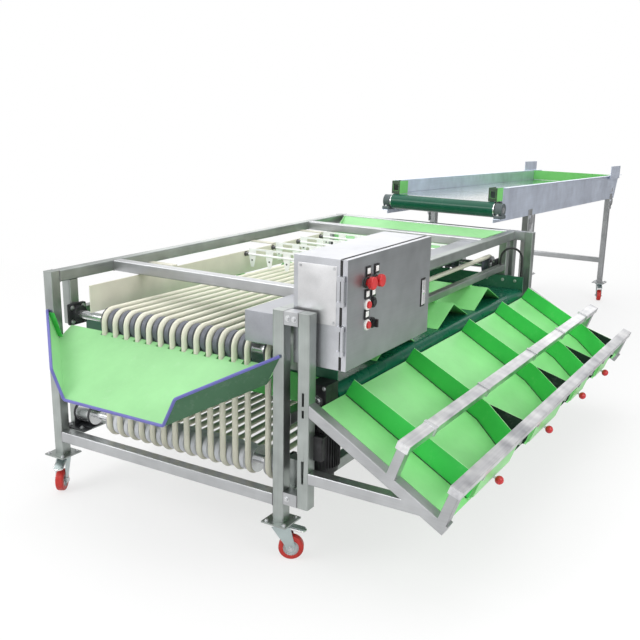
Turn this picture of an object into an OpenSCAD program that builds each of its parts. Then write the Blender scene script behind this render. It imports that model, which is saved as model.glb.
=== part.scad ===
// Rope-type fruit grading machine with its infeed conveyor.
// Fruit rides on spreading ropes, drops between them by size onto a cross belt and rolls into the side trays.

/* [Frame] */
// Side of the square tube that the frame is welded from
tube = 40; // [36:1:42]
// Width of the frame over its posts
frame_w = 1000; // [980:10:1100]
// Length of the frame over its posts
frame_l = 2020; // [2020:10:2200]
// Height of the frame's top above the floor
frame_h = 806; // [800:1:820]
// Height of the posts' feet above the floor
foot_z = 133; // [130:1:145]
// Height of the underside of the base rails
base_z = 183; // [175:1:185]
// Height of the underside of the rails under the cross belt
mid_z = 440; // [430:1:440]
// Front face of the front cross bar
cross_front_y = 294; // [250:1:340]
// Front face of the rear cross bar
cross_rear_y = 1640; // [1600:1:1660]
// Reach of the outriggers beyond the frame
outrigger_reach = 89; // [84:1:100]
// Height of the outriggers' lower end
outrigger_z = 197; // [190:1:210]

/* [Grading ropes] */
// Diameter of a rope
rope_d = 20; // [16:1:22]
// Number of spreading ropes
rope_count = 13; // [7:2:13]
// Spacing of the ropes at the outlet end
rope_pitch_out = 50; // [46:1:51]
// Spacing of the ropes at the infeed end
rope_pitch_in = 38; // [37:1:44]
// Sideways place of the middle rope
rope_mid_x = 25; // [15:1:26]
// Sideways place of the straight guard rope
guard_rope_x = 405; // [400:1:408]
// Radius of the ropes' middle line round a roller
rope_turn_r = 42; // [38:1:44]
// Distance of the outlet rollers' axes from the frame's front
roller_out_y = 100; // [96:1:110]
// Distance of the infeed rollers' axes from the frame's rear
roller_in_y = 120; // [110:1:130]
// Height of the upper rollers' axes
roller_top_z = 643; // [638:1:646]
// Height of the lower rollers' axes
roller_low_z = 275; // [270:1:290]
// Diameter of the roller shafts
shaft_d = 30; // [25:1:32]
// Diameter of the roller drums over the lands between grooves
drum_d = 90; // [84:1:92]

/* [Boards and combs] */
// Inner face of the left side board
board_x = -340; // [-350:1:-335]
// Inner face of the right guard
guard_x = 352; // [350:1:356]
// Distance of the first comb from the frame's front
comb_front_y = 950; // [800:10:1000]
// Distance of the second comb from the frame's front
comb_rear_y = 1355; // [1200:10:1400]
// Fingers on a comb
comb_fingers = 8; // [4:1:9]
// Diameter of a comb's rod
comb_rod_d = 10; // [8:1:12]

/* [Outlet chute and apron] */
// Half the width of the chute's lip
lip_half = 208; // [180:1:240]
// Reach of the chute's lip in front of the frame
lip_reach = 200; // [180:1:240]
// Height of the chute's lip
lip_z = 455; // [445:1:465]
// Slope of the chute's floor in degrees
chute_slope = 31; // [29:0.5:31.5]
// Height of the chute's wings
wing_h = 93; // [70:1:100]
// Thickness of the lined sheet of the chute and the apron
sheet_t = 3; // [2:0.5:4]

/* [Cross belt] */
// Diameter of the belt's rollers
belt_roller_d = 50; // [46:1:54]
// Thickness of the belt
belt_t = 3; // [2:0.5:4]
// Height of the belt rollers' axes
belt_z = 525; // [522:1:526]
// Reach of the drive roller's axis beyond the frame's middle
belt_drive_x = 575; // [570:1:577]
// Reach of the tail roller's axis on the left
belt_tail_x = -410; // [-420:1:-380]
// Distance of the belt's near edge from the frame's front
belt_near_y = 150; // [148:1:160]
// Distance of the belt's far edge from the frame's rear
belt_far_gap = 170; // [165:1:190]
// Places of the roof-shaped dividers along the machine
roof_y = [600, 1100, 1470]; // [500:10:1600]
// Half the width of a roof-shaped divider
roof_half = 150; // [120:1:160]

/* [Cabinet] */
// Width of the cabinet along the machine
cabinet_w = 556; // [520:2:580]
// Height of the cabinet
cabinet_h = 326; // [310:2:340]
// Depth of the cabinet with its door
cabinet_d = 180; // [160:2:200]
// Height of the cabinet's underside
cabinet_z = 640; // [630:1:650]
// Distance of the cabinet from the frame's front
cabinet_y = 52; // [46:1:80]

/* [Side trays] */
// Slope of the trays in degrees
tray_slope = 30; // [28:0.5:31]
// Length of a tray down its slope
tray_l = 512; // [490:2:540]
// Height of the trays' upper edge
tray_z = 528; // [524:1:529]
// Places of the tray dividers along the machine
divider_y = [180, 600, 1100, 1470, 1820]; // [100:10:1900]
// Half the width that a divider opens to at its lower end
divider_spread = 85; // [60:1:90]
// Height of a divider at its upper end
divider_h_top = 60; // [50:1:70]
// Height of a divider at its lower end
divider_h_low = 82; // [70:1:84]
// Height of the bars' legs over the trays
leg_h = 90; // [88:1:110]
// Width of the bars over the trays
bar_w = 40; // [34:1:44]
// Distance of the middle bar down the slope
bar_mid_s = 302; // [280:2:310]
// Diameter of the gates' ball knobs
knob_d = 28; // [24:1:32]

/* [Infeed conveyor] */
// Sideways place of the conveyor's middle
infeed_x = 80; // [40:5:100]
// Distance of the head roller's axis behind the frame
infeed_gap = 40; // [40:5:120]
// Height of the head roller's axis
infeed_z = 891; // [885:1:910]
// Fall of the conveyor towards its tail in degrees
infeed_fall = 1.9; // [0.5:0.1:2.5]
// Length of the conveyor between its rollers
infeed_l = 2380; // [2200:10:2500]
// Width of the conveyor's belt
infeed_belt_w = 560; // [500:10:600]
// Diameter of the conveyor's rollers
infeed_roller_d = 70; // [64:1:74]
// Height of the side plates
infeed_side_h = 168; // [160:1:180]
// Side of the legs' square tube
infeed_leg = 35; // [30:1:40]

/* [Castors] */
// Diameter of a castor's wheel
wheel_d = 80; // [72:1:84]
// Width of a castor's wheel
wheel_w = 28; // [24:1:32]
// Distance of the wheel's axle behind the swivel
wheel_trail = 32; // [26:1:36]

/* [Hidden] */
$fn = 48;
// Overrun of cuts
over = 1;
// Gap between parts that move past each other
gap = 0.3;
// Radial clearance of a shaft in its bearing
run_gap = 0.05;
hx = frame_w / 2;
ix = hx - tube;
far_y = frame_l - tube;
roller_in = frame_l - roller_in_y;
plate_t = 5;
foot_plate_w = 90;
slot_w = 8;
slot_depth = 20;
// Height of each slot's lower end above the outrigger's end, and its length
slots = [[83, 74], [294, 24], [330, 42]];
bearing_l = 28;
bearing_w = 76;
bearing_flange_t = 12;
bearing_boss_d = 60;
guide_rail = 30;
guide_rail_z = 630;
shaft_end_gap = 2;
groove_floor = 20;
groove_top = 34;
rope_r = rope_d / 2;
groove_r = rope_turn_r - rope_r - gap;
drum_end = 18;
pulley_w = 36;
board_t = 5;
board_z = 668;
board_top_gap = 2;
board_front_y = 60;
board_arm_w = 30;
board_arm_t = 5;
board_arm_y = [480, 1150, 1560];
guard_t = 2;
guard_z = 702;
guard_h = 86;
guard_lip = 15;
guard_front_y = 15;
rod_drop = 14;
rod_end = 3;
finger_w_top = 36;
finger_w_low = 14;
finger_t = 4;
finger_clear = 4;
finger_up = 27;
finger_rail_h = 8;
chute_rear_y = 60;
chute_half = 440;
wing_flare = 50;
rope_slot_w = 26;
rope_slot_clear = 3;
chute_rise = tan(chute_slope);
apron_top_z = 800;
apron_low_z = 705;
apron_low_y = 1700;
apron_half = 450;
apron_low_half = 345;
apron_wing_h = 55;
belt_far_y = frame_l - belt_far_gap;
belt_shaft_d = 20;
belt_r = belt_roller_d / 2;
belt_top = belt_z + belt_r + belt_t + gap;
belt_plate_t = 6;
belt_plate_gap = 4;
belt_plate_end = 24;
belt_plate_top = 575;
skirt_h = 60;
skirt_t = 4;
roof_t = 3;
roof_clear = 1;
roof_x0 = 10 - hx;
roof_x1 = 570;
roof_tab_w = 24;
mid_top = mid_z + tube;
gearbox_x = 64;
gearbox_z = 104;
gearbox_l = 72;
gearbox_wall = 8;
motor_d = 100;
motor_l = 165;
motor_cap_h = 28;
motor_neck_d = 76;
motor_neck_h = 10;
rope_motor_d = 72;
rope_motor_l = 78;
rope_motor_flange_d = 78;
rope_motor_flange_t = 10;
cabinet_wall = 2;
door_t = 16;
door_gap = 1;
cabinet_x1 = hx + cabinet_d;
door_x = cabinet_x1 - door_t;
collar_d = 30;
collar_h = 6;
stem_in = 6;
stem_d = 14;
stop_d = 38;
stop_h = 14;
stop_stem_d = 20;
stop_rise = 16;
push_d = 22;
push_rise = 6;
stop_z = 246;
stop_y = [108, 160];
push_z = [178, 117];
push_y = 117;
selector_y = 150;
selector_d = 24;
selector_h = 8;
selector_grip = 7;
// Each control's place on the door and the diameter that runs in its collar
controls = [[stop_y[0], stop_z, stop_stem_d], [stop_y[1], stop_z, stop_stem_d], [push_y, push_z[0], push_d],
  [push_y, push_z[1], push_d], [selector_y, push_z[1], stem_d]];
latch_h = 84;
latch_w = 24;
latch_t = 5;
latch_pin_out = 3;
latch_at = [cabinet_w - 50, 146];
hinge_d = 12;
hinge_pin_d = 6;
hinge_h = 60;
hinge_end = 14;
hinge_tab = 12;
hinge_off = 8;
hinge_inset = 60;
hinge_z = [hinge_inset, cabinet_h - hinge_inset - hinge_h];
tray_x = hx + 100;
tray_start_s = 10;
tray_floor_t = 3;
tray_floor_l = tray_l - 12;
member_h = 34;
member_back = 30;
tray_tie = 30;
tray_tie_s = [26, 440];
divider_t = 3;
split_s = bar_mid_s + 26;
leg_w = 30;
leg_lean = 10;
leg_low_s = tray_l - 22;
bar_t = 25;
clip_t = 3;
clip_w = 14;
brace_h = 36;
brace_z = 283;
gate_t = 2;
gate_off = 13;
gate_low = 5;
gate_rod_d = 8;
gate_rod_drop = 6;
gate_end_gap = 12;
lug_w = 8;
lug_h = 16;
knob_stem_d = 8;
knob_stem_l = 16;
knob_up = 14;
infeed_y = frame_l + infeed_gap;
infeed_r = infeed_roller_d / 2;
infeed_side_t = 3;
infeed_side_gap = 10;
infeed_half = infeed_belt_w / 2 + infeed_side_gap;
infeed_low = -62;
infeed_flange = 25;
infeed_start = 70;
infeed_tongue_y = -45;
infeed_tongue_h = 20;
infeed_tail_run = 60;
infeed_tail_flare = 90;
infeed_bed_t = 2;
infeed_bed_end = 60;
ear_l = 270;
ear_h = 65;
ear_lap = 24;
ear_back = 20;
pillow_w = 76;
pillow_l = 36;
pillow_base = 16;
pillow_boss_d = 66;
infeed_roller_side = 4;
guard_box_w = 46;
guard_box_l = 96;
guard_box_y = -8;
guard_window_shares = [0.2, 0.25];
back_board_y = 40;
infeed_leg_front = 515;
infeed_leg_rear = 2340;
infeed_tie_z = 280;
saddle_w = 60;
saddle_h = 110;
saddle_t = 5;
saddle_up = 34;
saddle_disc_d = 54;
saddle_disc_t = 8;
pad_d = 54;
pad_h = 12;
pad_stem_d = 18;
castor_top = foot_z - plate_t - gap;
castor_disc_d = 58;
castor_disc_h = 10;
castor_crown_h = 8;
cheek_t = 3;
cheek_gap = 2;
cheek_w = 44;
axle_d = 10;
cheek_end_d = 26;
pedal_l = 60;
pedal_w = 26;
pedal_t = 4;
pedal_drop = 16;
pedal_root = 6;
tyre_round = 6;
hub_d = 50;
hub_recess = 5;
cable_d = 10;
cable_sides = 8;
cable_bend = 4 * cable_d;
cable_rise = 30;
cable_steps = [2, 9, 5, 6];
cable_end_x = 571;
cable_end_z = 500;
cable_seat = 1;
// Foot of the motor cable on the guide rail, and its end on the cross belt's far plate
cable_from = [hx - tube / 2, belt_far_y + belt_plate_gap + belt_plate_t, guide_rail_z + guide_rail];
cable_to = [cable_end_x, cable_from[1] + cable_seat, cable_end_z];
cable_down = cable_to + [0, cable_bend, cable_bend];
cable_reach = [cable_down[0] - cable_from[0], cable_down[1] - cable_from[1]];
cable_top = cable_from[2] + cable_rise;
// Route of the motor cable: up from the rail, over in a half circle, down, and round into the plate
cable_route = concat(
  [for (i = [0:cable_steps[0]]) cable_from + [0, 0, cable_rise * i / cable_steps[0]]],
  [for (i = [1:cable_steps[1]]) let (a = 180 * i / cable_steps[1], m = (1 - cos(a)) / 2)
    [cable_from[0] + m * cable_reach[0], cable_from[1] + m * cable_reach[1],
      cable_top + norm(cable_reach) / 2 * sin(a)]],
  [for (i = [1:cable_steps[2]])
    [cable_down[0], cable_down[1], cable_top + (cable_down[2] - cable_top) * i / cable_steps[2]]],
  [for (i = [1:cable_steps[3]]) let (a = 90 * i / cable_steps[3])
    cable_to + cable_bend * [0, cos(a), 1 - sin(a)]]);
// Middle of the outlets between the dividers' lower ends, and their half widths
gate_mid = [for (i = [0:3]) (divider_y[i] + divider_y[i + 1] + (i == 0 ? -divider_spread : 0)) / 2];
gate_half = [for (i = [0:3])
  (divider_y[i + 1] - divider_y[i] - (i == 0 ? 1 : 2) * divider_spread) / 2 - gate_end_gap];
// Swivel points of the castors and the way that each trails
infeed_leg_x = infeed_half + infeed_side_t - infeed_leg / 2;
castor_at = [[-hx + tube / 2, tube / 2], [hx - tube / 2, tube / 2],
  [-hx + tube / 2, frame_l - tube / 2], [hx - tube / 2, frame_l - tube / 2],
  [infeed_x - infeed_leg_x, infeed_y + infeed_leg_rear], [infeed_x + infeed_leg_x, infeed_y + infeed_leg_rear]];
castor_turn = [-60, 30, 120, 60, 100, -70];
// Middle of the whole machine on the floor
bar_slope = tray_slope - leg_lean;
part_mid = [(tray_x + leg_low_s * cos(tray_slope) + (leg_h + bar_t) * sin(bar_slope) + bar_w / 2 * cos(bar_slope)
  - hx - foot_plate_w / 2 + tube / 2) / 2,
  (infeed_y + infeed_l + infeed_tail_run + infeed_tail_flare - lip_reach) / 2, 0];

// Shared shapes

// A block given by its lowest corner and its size
module block(at, size) {
  translate(at)
    cube(size);
}

// A round bar along X
module bar_x(from, to, d, y, z) {
  translate([from, y, z])
    rotate([0, 90, 0])
      cylinder(h = to - from, d = d);
}

// A round bar along Y
module bar_y(from, to, d, x, z) {
  translate([x, from, z])
    rotate([-90, 0, 0])
      cylinder(h = to - from, d = d);
}

// An outline in Y and Z, drawn out along X
module prism_x(from, to) {
  translate([from, 0, 0])
    rotate([90, 0, 90])
      linear_extrude(height = to - from)
        children();
}

// An outline in X and Z, drawn out along Y
module prism_y(from, to) {
  translate([0, to, 0])
    rotate([90, 0, 0])
      linear_extrude(height = to - from)
        children();
}

// The closed band of a belt round two rollers, l apart
module band(l, r, t) {
  difference() {
    union() {
      circle(r = r + t);
      translate([l, 0])
        circle(r = r + t);
      translate([0, -r - t])
        square([l, 2 * (r + t)]);
    }
    circle(r = r);
    translate([l, 0])
      circle(r = r);
    translate([0, -r])
      square([l, 2 * r]);
  }
}

// A flat four-sided sheet with its thickness along the vector n
module sheet(p, n) {
  q = cross(p[1] - p[0], p[3] - p[0]) * n > 0 ? p : [p[3], p[2], p[1], p[0]];
  polyhedron(points = concat(q, [for (c = q) c + n]),
    faces = [[0, 1, 2, 3], [7, 6, 5, 4], [0, 4, 5, 1], [1, 5, 6, 2], [2, 6, 7, 3], [3, 7, 4, 0]]);
}

// The tilted frames of the trays, of the legs over them and of the infeed conveyor
module on_tray() {
  translate([tray_x, 0, tray_z])
    rotate([0, tray_slope, 0])
      children();
}

module on_leg(s) {
  on_tray()
    translate([s, 0, 0])
      rotate([0, -leg_lean, 0])
        children();
}

module on_infeed() {
  translate([infeed_x, infeed_y, infeed_z])
    rotate([-infeed_fall, 0, 0])
      children();
}

// Frame

// Corner posts with foot plates, and the stands that carry the rope rollers
module frame_posts() {
  color("silver")
    for (sx = [-1, 1]) {
      for (y = [tube / 2, frame_l - tube / 2])
        translate([sx * (hx - tube / 2), y, 0]) {
          block([-tube / 2, -tube / 2, foot_z], [tube, tube, frame_h - foot_z]);
          block([-foot_plate_w / 2, -foot_plate_w / 2, foot_z - plate_t],
            [foot_plate_w, foot_plate_w, plate_t]);
        }
      for (y = [roller_out_y, roller_in])
        translate([sx * (hx - tube / 2) - tube / 2, y - tube / 2, 0]) {
          block([0, 0, roller_top_z - bearing_w / 2],
            [tube, tube, frame_h - tube - roller_top_z + bearing_w / 2]);
          block([0, 0, base_z + tube], [tube, tube, roller_low_z + bearing_w / 2 - base_z - tube]);
        }
    }
}

// Long rails: top, base, under the belt, and the slim rails that hold the roof dividers
module side_rails() {
  color("silver")
    for (sx = [-1, 1])
      translate([sx * (hx - tube / 2), 0, 0]) {
        for (z = [frame_h - tube, base_z, mid_z])
          block([-tube / 2, tube, z], [tube, frame_l - 2 * tube, tube]);
        block([-guide_rail / 2, roller_out_y + tube / 2, guide_rail_z],
          [guide_rail, roller_in - roller_out_y - tube, guide_rail]);
      }
}

// Bars across the frame, the outriggers' stubs, and the tie between the infeed stand's rear legs
module cross_bars() {
  color("silver") {
    for (y = [0, far_y])
      block([-ix, y, base_z], [2 * ix, tube, tube]);
    for (y = [cross_front_y, cross_rear_y, far_y])
      block([-ix, y, frame_h - tube], [2 * ix, tube, tube]);
    for (y = [0, far_y], z = [outrigger_z, frame_h - tube])
      block([hx, y, z], [outrigger_reach - tube, tube, tube]);
    block([infeed_x - infeed_leg_x + infeed_leg / 2, infeed_y + infeed_leg_rear - infeed_leg / 2, infeed_tie_z],
      [2 * infeed_leg_x - infeed_leg, infeed_leg, infeed_leg]);
  }
}

// Posts standing off the frame on stubs, with adjusting slots in the near one
module outriggers() {
  color("silver")
    difference() {
      for (y = [0, far_y])
        block([hx + outrigger_reach - tube, y, outrigger_z], [tube, tube, frame_h - outrigger_z]);
      for (s = slots)
        block([hx + outrigger_reach - tube / 2 - slot_w / 2, -over, outrigger_z + s[0]],
          [slot_w, slot_depth + over, s[1]]);
    }
}

// Flanged bearing units on the stands, and the pillow blocks of the infeed head roller
module bearing_units() {
  color("dimgray") {
    for (sx = [-1, 1], y = [roller_out_y, roller_in], z = [roller_top_z, roller_low_z])
      if (!(sx < 0 && y == roller_out_y && z == roller_low_z))
        difference() {
          union() {
            translate([sx * (ix - bearing_flange_t / 2), y, z])
              cube([bearing_flange_t, bearing_w, bearing_w], center = true);
            bar_x(min(sx * ix, sx * (ix - bearing_l)), max(sx * ix, sx * (ix - bearing_l)), bearing_boss_d, y, z);
          }
          bar_x(min(sx * (ix + over), sx * (ix - bearing_l - over)),
            max(sx * (ix + over), sx * (ix - bearing_l - over)), shaft_d + 2 * run_gap, y, z);
        }
    on_infeed()
      for (sx = [-1, 1])
        difference() {
          union() {
            block([sx > 0 ? infeed_half : -infeed_half - pillow_l, -pillow_w / 2, infeed_low + infeed_tongue_h],
              [pillow_l, pillow_w, pillow_base]);
            bar_x(sx > 0 ? infeed_half : -infeed_half - pillow_l, sx > 0 ? infeed_half + pillow_l : -infeed_half,
              pillow_boss_d, 0, 0);
          }
          bar_x(-infeed_half - pillow_l - over, infeed_half + pillow_l + over, shaft_d + 2 * run_gap, 0, 0);
        }
  }
}

// Grading deck

function rope_front_x(i) = rope_mid_x + (i - (rope_count - 1) / 2) * rope_pitch_out;
function rope_rear_x(i) = rope_mid_x + (i - (rope_count - 1) / 2) * rope_pitch_in;
// Places of all ropes at the outlet end and at the infeed end, the guard rope last
rope_ends = concat([for (i = [0:rope_count - 1]) [rope_front_x(i), rope_rear_x(i)]],
  [[guard_rope_x, guard_rope_x]]);
rope_run = roller_in - roller_out_y;

// A frame that follows one rope from the outlet rollers to the infeed rollers
module on_rope(ends) {
  translate([ends[0], roller_out_y, 0])
    rotate([0, 0, -atan((ends[1] - ends[0]) / rope_run)])
      children();
}

function rope_length(ends) = norm([ends[1] - ends[0], rope_run]);

// A quarter turn of rope round a roller, starting at the angle a in Y and Z
module rope_turn(y, z, a) {
  translate([0, y, z])
    rotate([90, 0, 90])
      rotate([0, 0, a])
        rotate_extrude(angle = 90)
          translate([rope_turn_r, 0])
            circle(d = rope_d);
}

// Upper runs of the ropes, on which the fruit travels
module deck_ropes() {
  color("ivory")
    for (ends = rope_ends)
      on_rope(ends)
        bar_y(0, rope_length(ends), rope_d, 0, roller_top_z + rope_turn_r);
}

// Turns, falls and lower runs that close each rope into a loop
module rope_returns() {
  color("ivory")
    for (ends = rope_ends)
      on_rope(ends) {
        l = rope_length(ends);
        rope_turn(0, roller_top_z, 90);
        rope_turn(0, roller_low_z, 180);
        rope_turn(l, roller_low_z, 270);
        rope_turn(l, roller_top_z, 0);
        for (y = [-rope_turn_r, l + rope_turn_r])
          translate([0, y, roller_low_z])
            cylinder(h = roller_top_z - roller_low_z, d = rope_d);
        bar_y(0, l, rope_d, 0, roller_low_z - rope_turn_r);
      }
}

// Outline of a grooved drum along its axis, with grooves at the places xs
module groove_outline(from, to, xs) {
  polygon(concat([[0, from], [drum_d / 2, from]],
    [for (x = xs, q = [[drum_d / 2, -groove_top / 2], [groove_r, -groove_floor / 2],
      [groove_r, groove_floor / 2], [drum_d / 2, groove_top / 2]]) [q[0], x + q[1]]],
    [[drum_d / 2, to], [0, to]]));
}

// A rope roller: shaft, grooved drum for the spreading ropes and pulley for the guard rope
module rope_roller(y, z, pitch) {
  half = (rope_count - 1) / 2 * pitch;
  translate([0, y, z])
    rotate([90, 0, 90]) {
      rotate([0, 0, 90])
        rotate_extrude()
          groove_outline(rope_mid_x - half - drum_end, rope_mid_x + half + drum_end,
            [for (i = [0:rope_count - 1]) rope_mid_x - half + i * pitch]);
      rotate_extrude()
        groove_outline(guard_rope_x - pulley_w / 2, guard_rope_x + pulley_w / 2, [guard_rope_x]);
      translate([0, 0, -ix + shaft_end_gap])
        cylinder(h = 2 * (ix - shaft_end_gap), d = shaft_d);
    }
}

module upper_outlet_roller() {
  color("slategray")
    rope_roller(roller_out_y, roller_top_z, rope_pitch_out);
}

module lower_outlet_roller() {
  color("slategray")
    rope_roller(roller_out_y, roller_low_z, rope_pitch_out);
}

module upper_infeed_roller() {
  color("slategray")
    rope_roller(roller_in, roller_top_z, rope_pitch_in);
}

module lower_infeed_roller() {
  color("slategray")
    rope_roller(roller_in, roller_low_z, rope_pitch_in);
}

// Drum-shaped gear motor on the left end of the lower outlet roller
module rope_motor() {
  color("gainsboro")
    difference() {
      union() {
        bar_x(-ix, -ix + rope_motor_l, rope_motor_d, roller_out_y, roller_low_z);
        for (x = [-ix, -ix + rope_motor_l - rope_motor_flange_t])
          bar_x(x, x + rope_motor_flange_t, rope_motor_flange_d, roller_out_y, roller_low_z);
      }
      bar_x(-ix - over, -ix + rope_motor_l + over, shaft_d + 2 * run_gap, roller_out_y, roller_low_z);
    }
}

rod_z = frame_h - tube - rod_drop;

// Upright board along the left of the ropes, hung on arms from the top rail
module left_board() {
  top = frame_h - tube - board_top_gap;
  color("beige")
    difference() {
      union() {
        block([board_x - board_t, board_front_y, board_z],
          [board_t, cross_rear_y - board_front_y, top - board_z]);
        for (y = board_arm_y) {
          block([board_x - board_t, y, top], [board_t, board_arm_w, board_top_gap + board_arm_t]);
          block([-ix, y, frame_h - tube], [board_x + ix, board_arm_w, board_arm_t]);
        }
      }
      for (y = [comb_front_y, comb_rear_y])
        bar_x(board_x - board_t - over, board_x + over, comb_rod_d + 2 * run_gap, y, rod_z);
    }
}

// Bent guard along the right of the ropes, before and behind the front cross bar
module right_guard() {
  color("silver")
    difference() {
      for (y = [[guard_front_y, cross_front_y], [cross_front_y + tube, cross_rear_y]])
        prism_y(y[0] + gap, y[1] - gap)
          polygon([[guard_x, guard_z], [guard_x + guard_lip, guard_z], [guard_x + guard_lip, guard_z + guard_t],
            [guard_x + guard_t, guard_z + guard_t], [guard_x + guard_t, guard_z + guard_h - guard_t],
            [ix, guard_z + guard_h - guard_t], [ix, guard_z + guard_h], [guard_x, guard_z + guard_h]]);
      for (y = [comb_front_y, comb_rear_y])
        bar_x(guard_x - over, guard_x + guard_t + over, comb_rod_d + 2 * run_gap, y, rod_z);
    }
}

// A row of hanging fingers on a rod, which evens out the fruit
module comb(y) {
  from = board_x + finger_w_top;
  step = (guard_x - finger_w_top - from) / (comb_fingers - 1);
  low = roller_top_z + rope_turn_r + rope_r + finger_clear;
  color("white") {
    bar_x(board_x - board_t - rod_end, guard_x + guard_t + rod_end, comb_rod_d, y, rod_z);
    for (i = [0:comb_fingers - 1])
      prism_y(y - finger_t / 2, y + finger_t / 2)
        translate([from + i * step, 0])
          polygon([[-finger_w_low / 2, low], [finger_w_low / 2, low], [finger_w_top / 2, rod_z],
            [finger_w_top / 2, rod_z + finger_up], [-finger_w_top / 2, rod_z + finger_up],
            [-finger_w_top / 2, rod_z]]);
    block([from, y - finger_t / 2, rod_z + finger_up - finger_rail_h],
      [step * (comb_fingers - 1), finger_t, finger_rail_h]);
  }
}

module comb_front() {
  comb(comb_front_y);
}

module comb_rear() {
  comb(comb_rear_y);
}

// Folded outlet chute: a tapering floor with notches for the ropes, and a flared wing on each side
module outlet_chute() {
  l = (chute_rear_y + lip_reach) / cos(chute_slope);
  bend = lip_reach / cos(chute_slope);
  post_z = lip_z + lip_reach * chute_rise;
  color("palegreen") {
    translate([0, -lip_reach, lip_z])
      rotate([chute_slope, 0, 0])
        translate([0, 0, -sheet_t])
          linear_extrude(height = sheet_t)
            difference() {
              polygon([[-lip_half, 0], [lip_half, 0], [chute_half, bend], [chute_half, l], [-chute_half, l],
                [-chute_half, bend]]);
              for (ends = rope_ends)
                translate([ends[0] - rope_slot_w / 2,
                  (roller_out_y - rope_turn_r - rope_r - rope_slot_clear + lip_reach) / cos(chute_slope)])
                  square([rope_slot_w, l]);
            }
    for (sx = [-1, 1])
      sheet(sx > 0
        ? [[lip_half, -lip_reach, lip_z - sheet_t], [chute_half, 0, post_z - sheet_t],
          [chute_half + wing_flare, 0, post_z + wing_h], [lip_half + wing_flare, -lip_reach, lip_z + wing_h]]
        : [[-lip_half, -lip_reach, lip_z - sheet_t], [-lip_half - wing_flare, -lip_reach, lip_z + wing_h],
          [-chute_half - wing_flare, 0, post_z + wing_h], [-chute_half, 0, post_z - sheet_t]],
        [-sx * sheet_t, 0, 0]);
  }
}

// Sloping apron that leads the fruit from the infeed conveyor onto the ropes
module infeed_apron() {
  color("palegreen") {
    sheet([[-apron_half, far_y, apron_top_z], [-apron_low_half, apron_low_y, apron_low_z],
      [apron_low_half, apron_low_y, apron_low_z], [apron_half, far_y, apron_top_z]], [0, 0, -sheet_t]);
    for (sx = [-1, 1])
      sheet(sx > 0
        ? [[apron_half, far_y, apron_top_z - sheet_t], [apron_low_half, apron_low_y, apron_low_z - sheet_t],
          [apron_low_half, apron_low_y, apron_low_z + apron_wing_h],
          [apron_half, far_y, apron_top_z + sheet_t]]
        : [[-apron_half, far_y, apron_top_z - sheet_t], [-apron_half, far_y, apron_top_z + sheet_t],
          [-apron_low_half, apron_low_y, apron_low_z + apron_wing_h],
          [-apron_low_half, apron_low_y, apron_low_z - sheet_t]],
        [-sx * sheet_t, 0, 0]);
  }
}

// Cross conveyor

module cross_belt() {
  color("darkgreen")
    prism_y(belt_near_y, belt_far_y)
      translate([belt_tail_x, belt_z])
        band(belt_drive_x - belt_tail_x, belt_r + gap, belt_t);
}

belt_plate_near = belt_near_y - belt_plate_gap - belt_plate_t;
belt_plate_far = belt_far_y + belt_plate_gap;

// A belt roller on its shaft, which runs in the side plates and on the near side reaches out by a length
module belt_roller(x, reach) {
  color("slategray") {
    bar_y(belt_near_y, belt_far_y, belt_roller_d, x, belt_z);
    bar_y(belt_plate_near - reach, belt_plate_far + belt_plate_t, belt_shaft_d, x, belt_z);
  }
}

module belt_drive_roller() {
  belt_roller(belt_drive_x, gearbox_l - gearbox_wall - over);
}

module belt_tail_roller() {
  belt_roller(belt_tail_x, 0);
}

// Side plates of the cross conveyor, standing on the rails, with upright skirts beside the belt
module belt_frame() {
  x0 = belt_tail_x - belt_r - belt_plate_end;
  x1 = belt_drive_x + belt_r - over;
  color("darkgreen")
    difference() {
      for (y = [belt_plate_near, belt_plate_far]) {
        block([-hx, y, mid_top], [x1 + hx, belt_plate_t, belt_plate_top - mid_top]);
        block([x0, y == belt_plate_far ? y - belt_plate_gap + gap : y + belt_plate_t - over, belt_top + gap],
          [x1 - x0, belt_plate_gap - gap + over, skirt_h]);
      }
      for (x = [belt_tail_x, belt_drive_x])
        bar_y(belt_plate_near - over, belt_plate_far + belt_plate_t + over, belt_shaft_d + 2 * run_gap, x, belt_z);
    }
}

// Roof-shaped dividers over the cross belt, hung by tabs from the slim rails
module belt_dividers() {
  low = belt_top + roof_clear;
  high = guide_rail_z - roof_t;
  color("lightgreen")
    for (y = roof_y) {
      prism_x(roof_x0, roof_x1)
        translate([y, 0])
          polygon([[-roof_half, low], [-roof_half + 2 * roof_t, low], [0, high - roof_t],
            [roof_half - 2 * roof_t, low], [roof_half, low], [0, high]]);
      for (sx = [-1, 1])
        block([sx * (hx - tube / 2) - roof_tab_w / 2, y - roof_tab_w / 2, high - 3 * roof_t],
          [roof_tab_w, roof_tab_w, 4 * roof_t]);
    }
}

// Worm gear box on the near end of the drive roller, with its motor hanging below
module belt_motor() {
  color("black")
    difference() {
      union() {
        block([belt_drive_x - gearbox_x / 2 - over, belt_plate_near - gearbox_l, belt_z - gearbox_z / 2],
          [gearbox_x, gearbox_l, gearbox_z]);
        translate([belt_drive_x, belt_plate_near - gearbox_l / 2, 0]) {
          translate([0, 0, belt_z - gearbox_z / 2 - motor_neck_h])
            cylinder(h = motor_neck_h + over, d = motor_neck_d);
          translate([0, 0, belt_z - gearbox_z / 2 - motor_neck_h - motor_l])
            cylinder(h = motor_l, d = motor_d);
          translate([0, 0, belt_z - gearbox_z / 2 - motor_neck_h - motor_l - motor_cap_h])
            cylinder(h = motor_cap_h + over, d = motor_neck_d);
        }
      }
      bar_y(belt_plate_near - gearbox_l + gearbox_wall, belt_plate_near + over, belt_shaft_d + 2 * run_gap,
        belt_drive_x, belt_z);
    }
}

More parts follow.
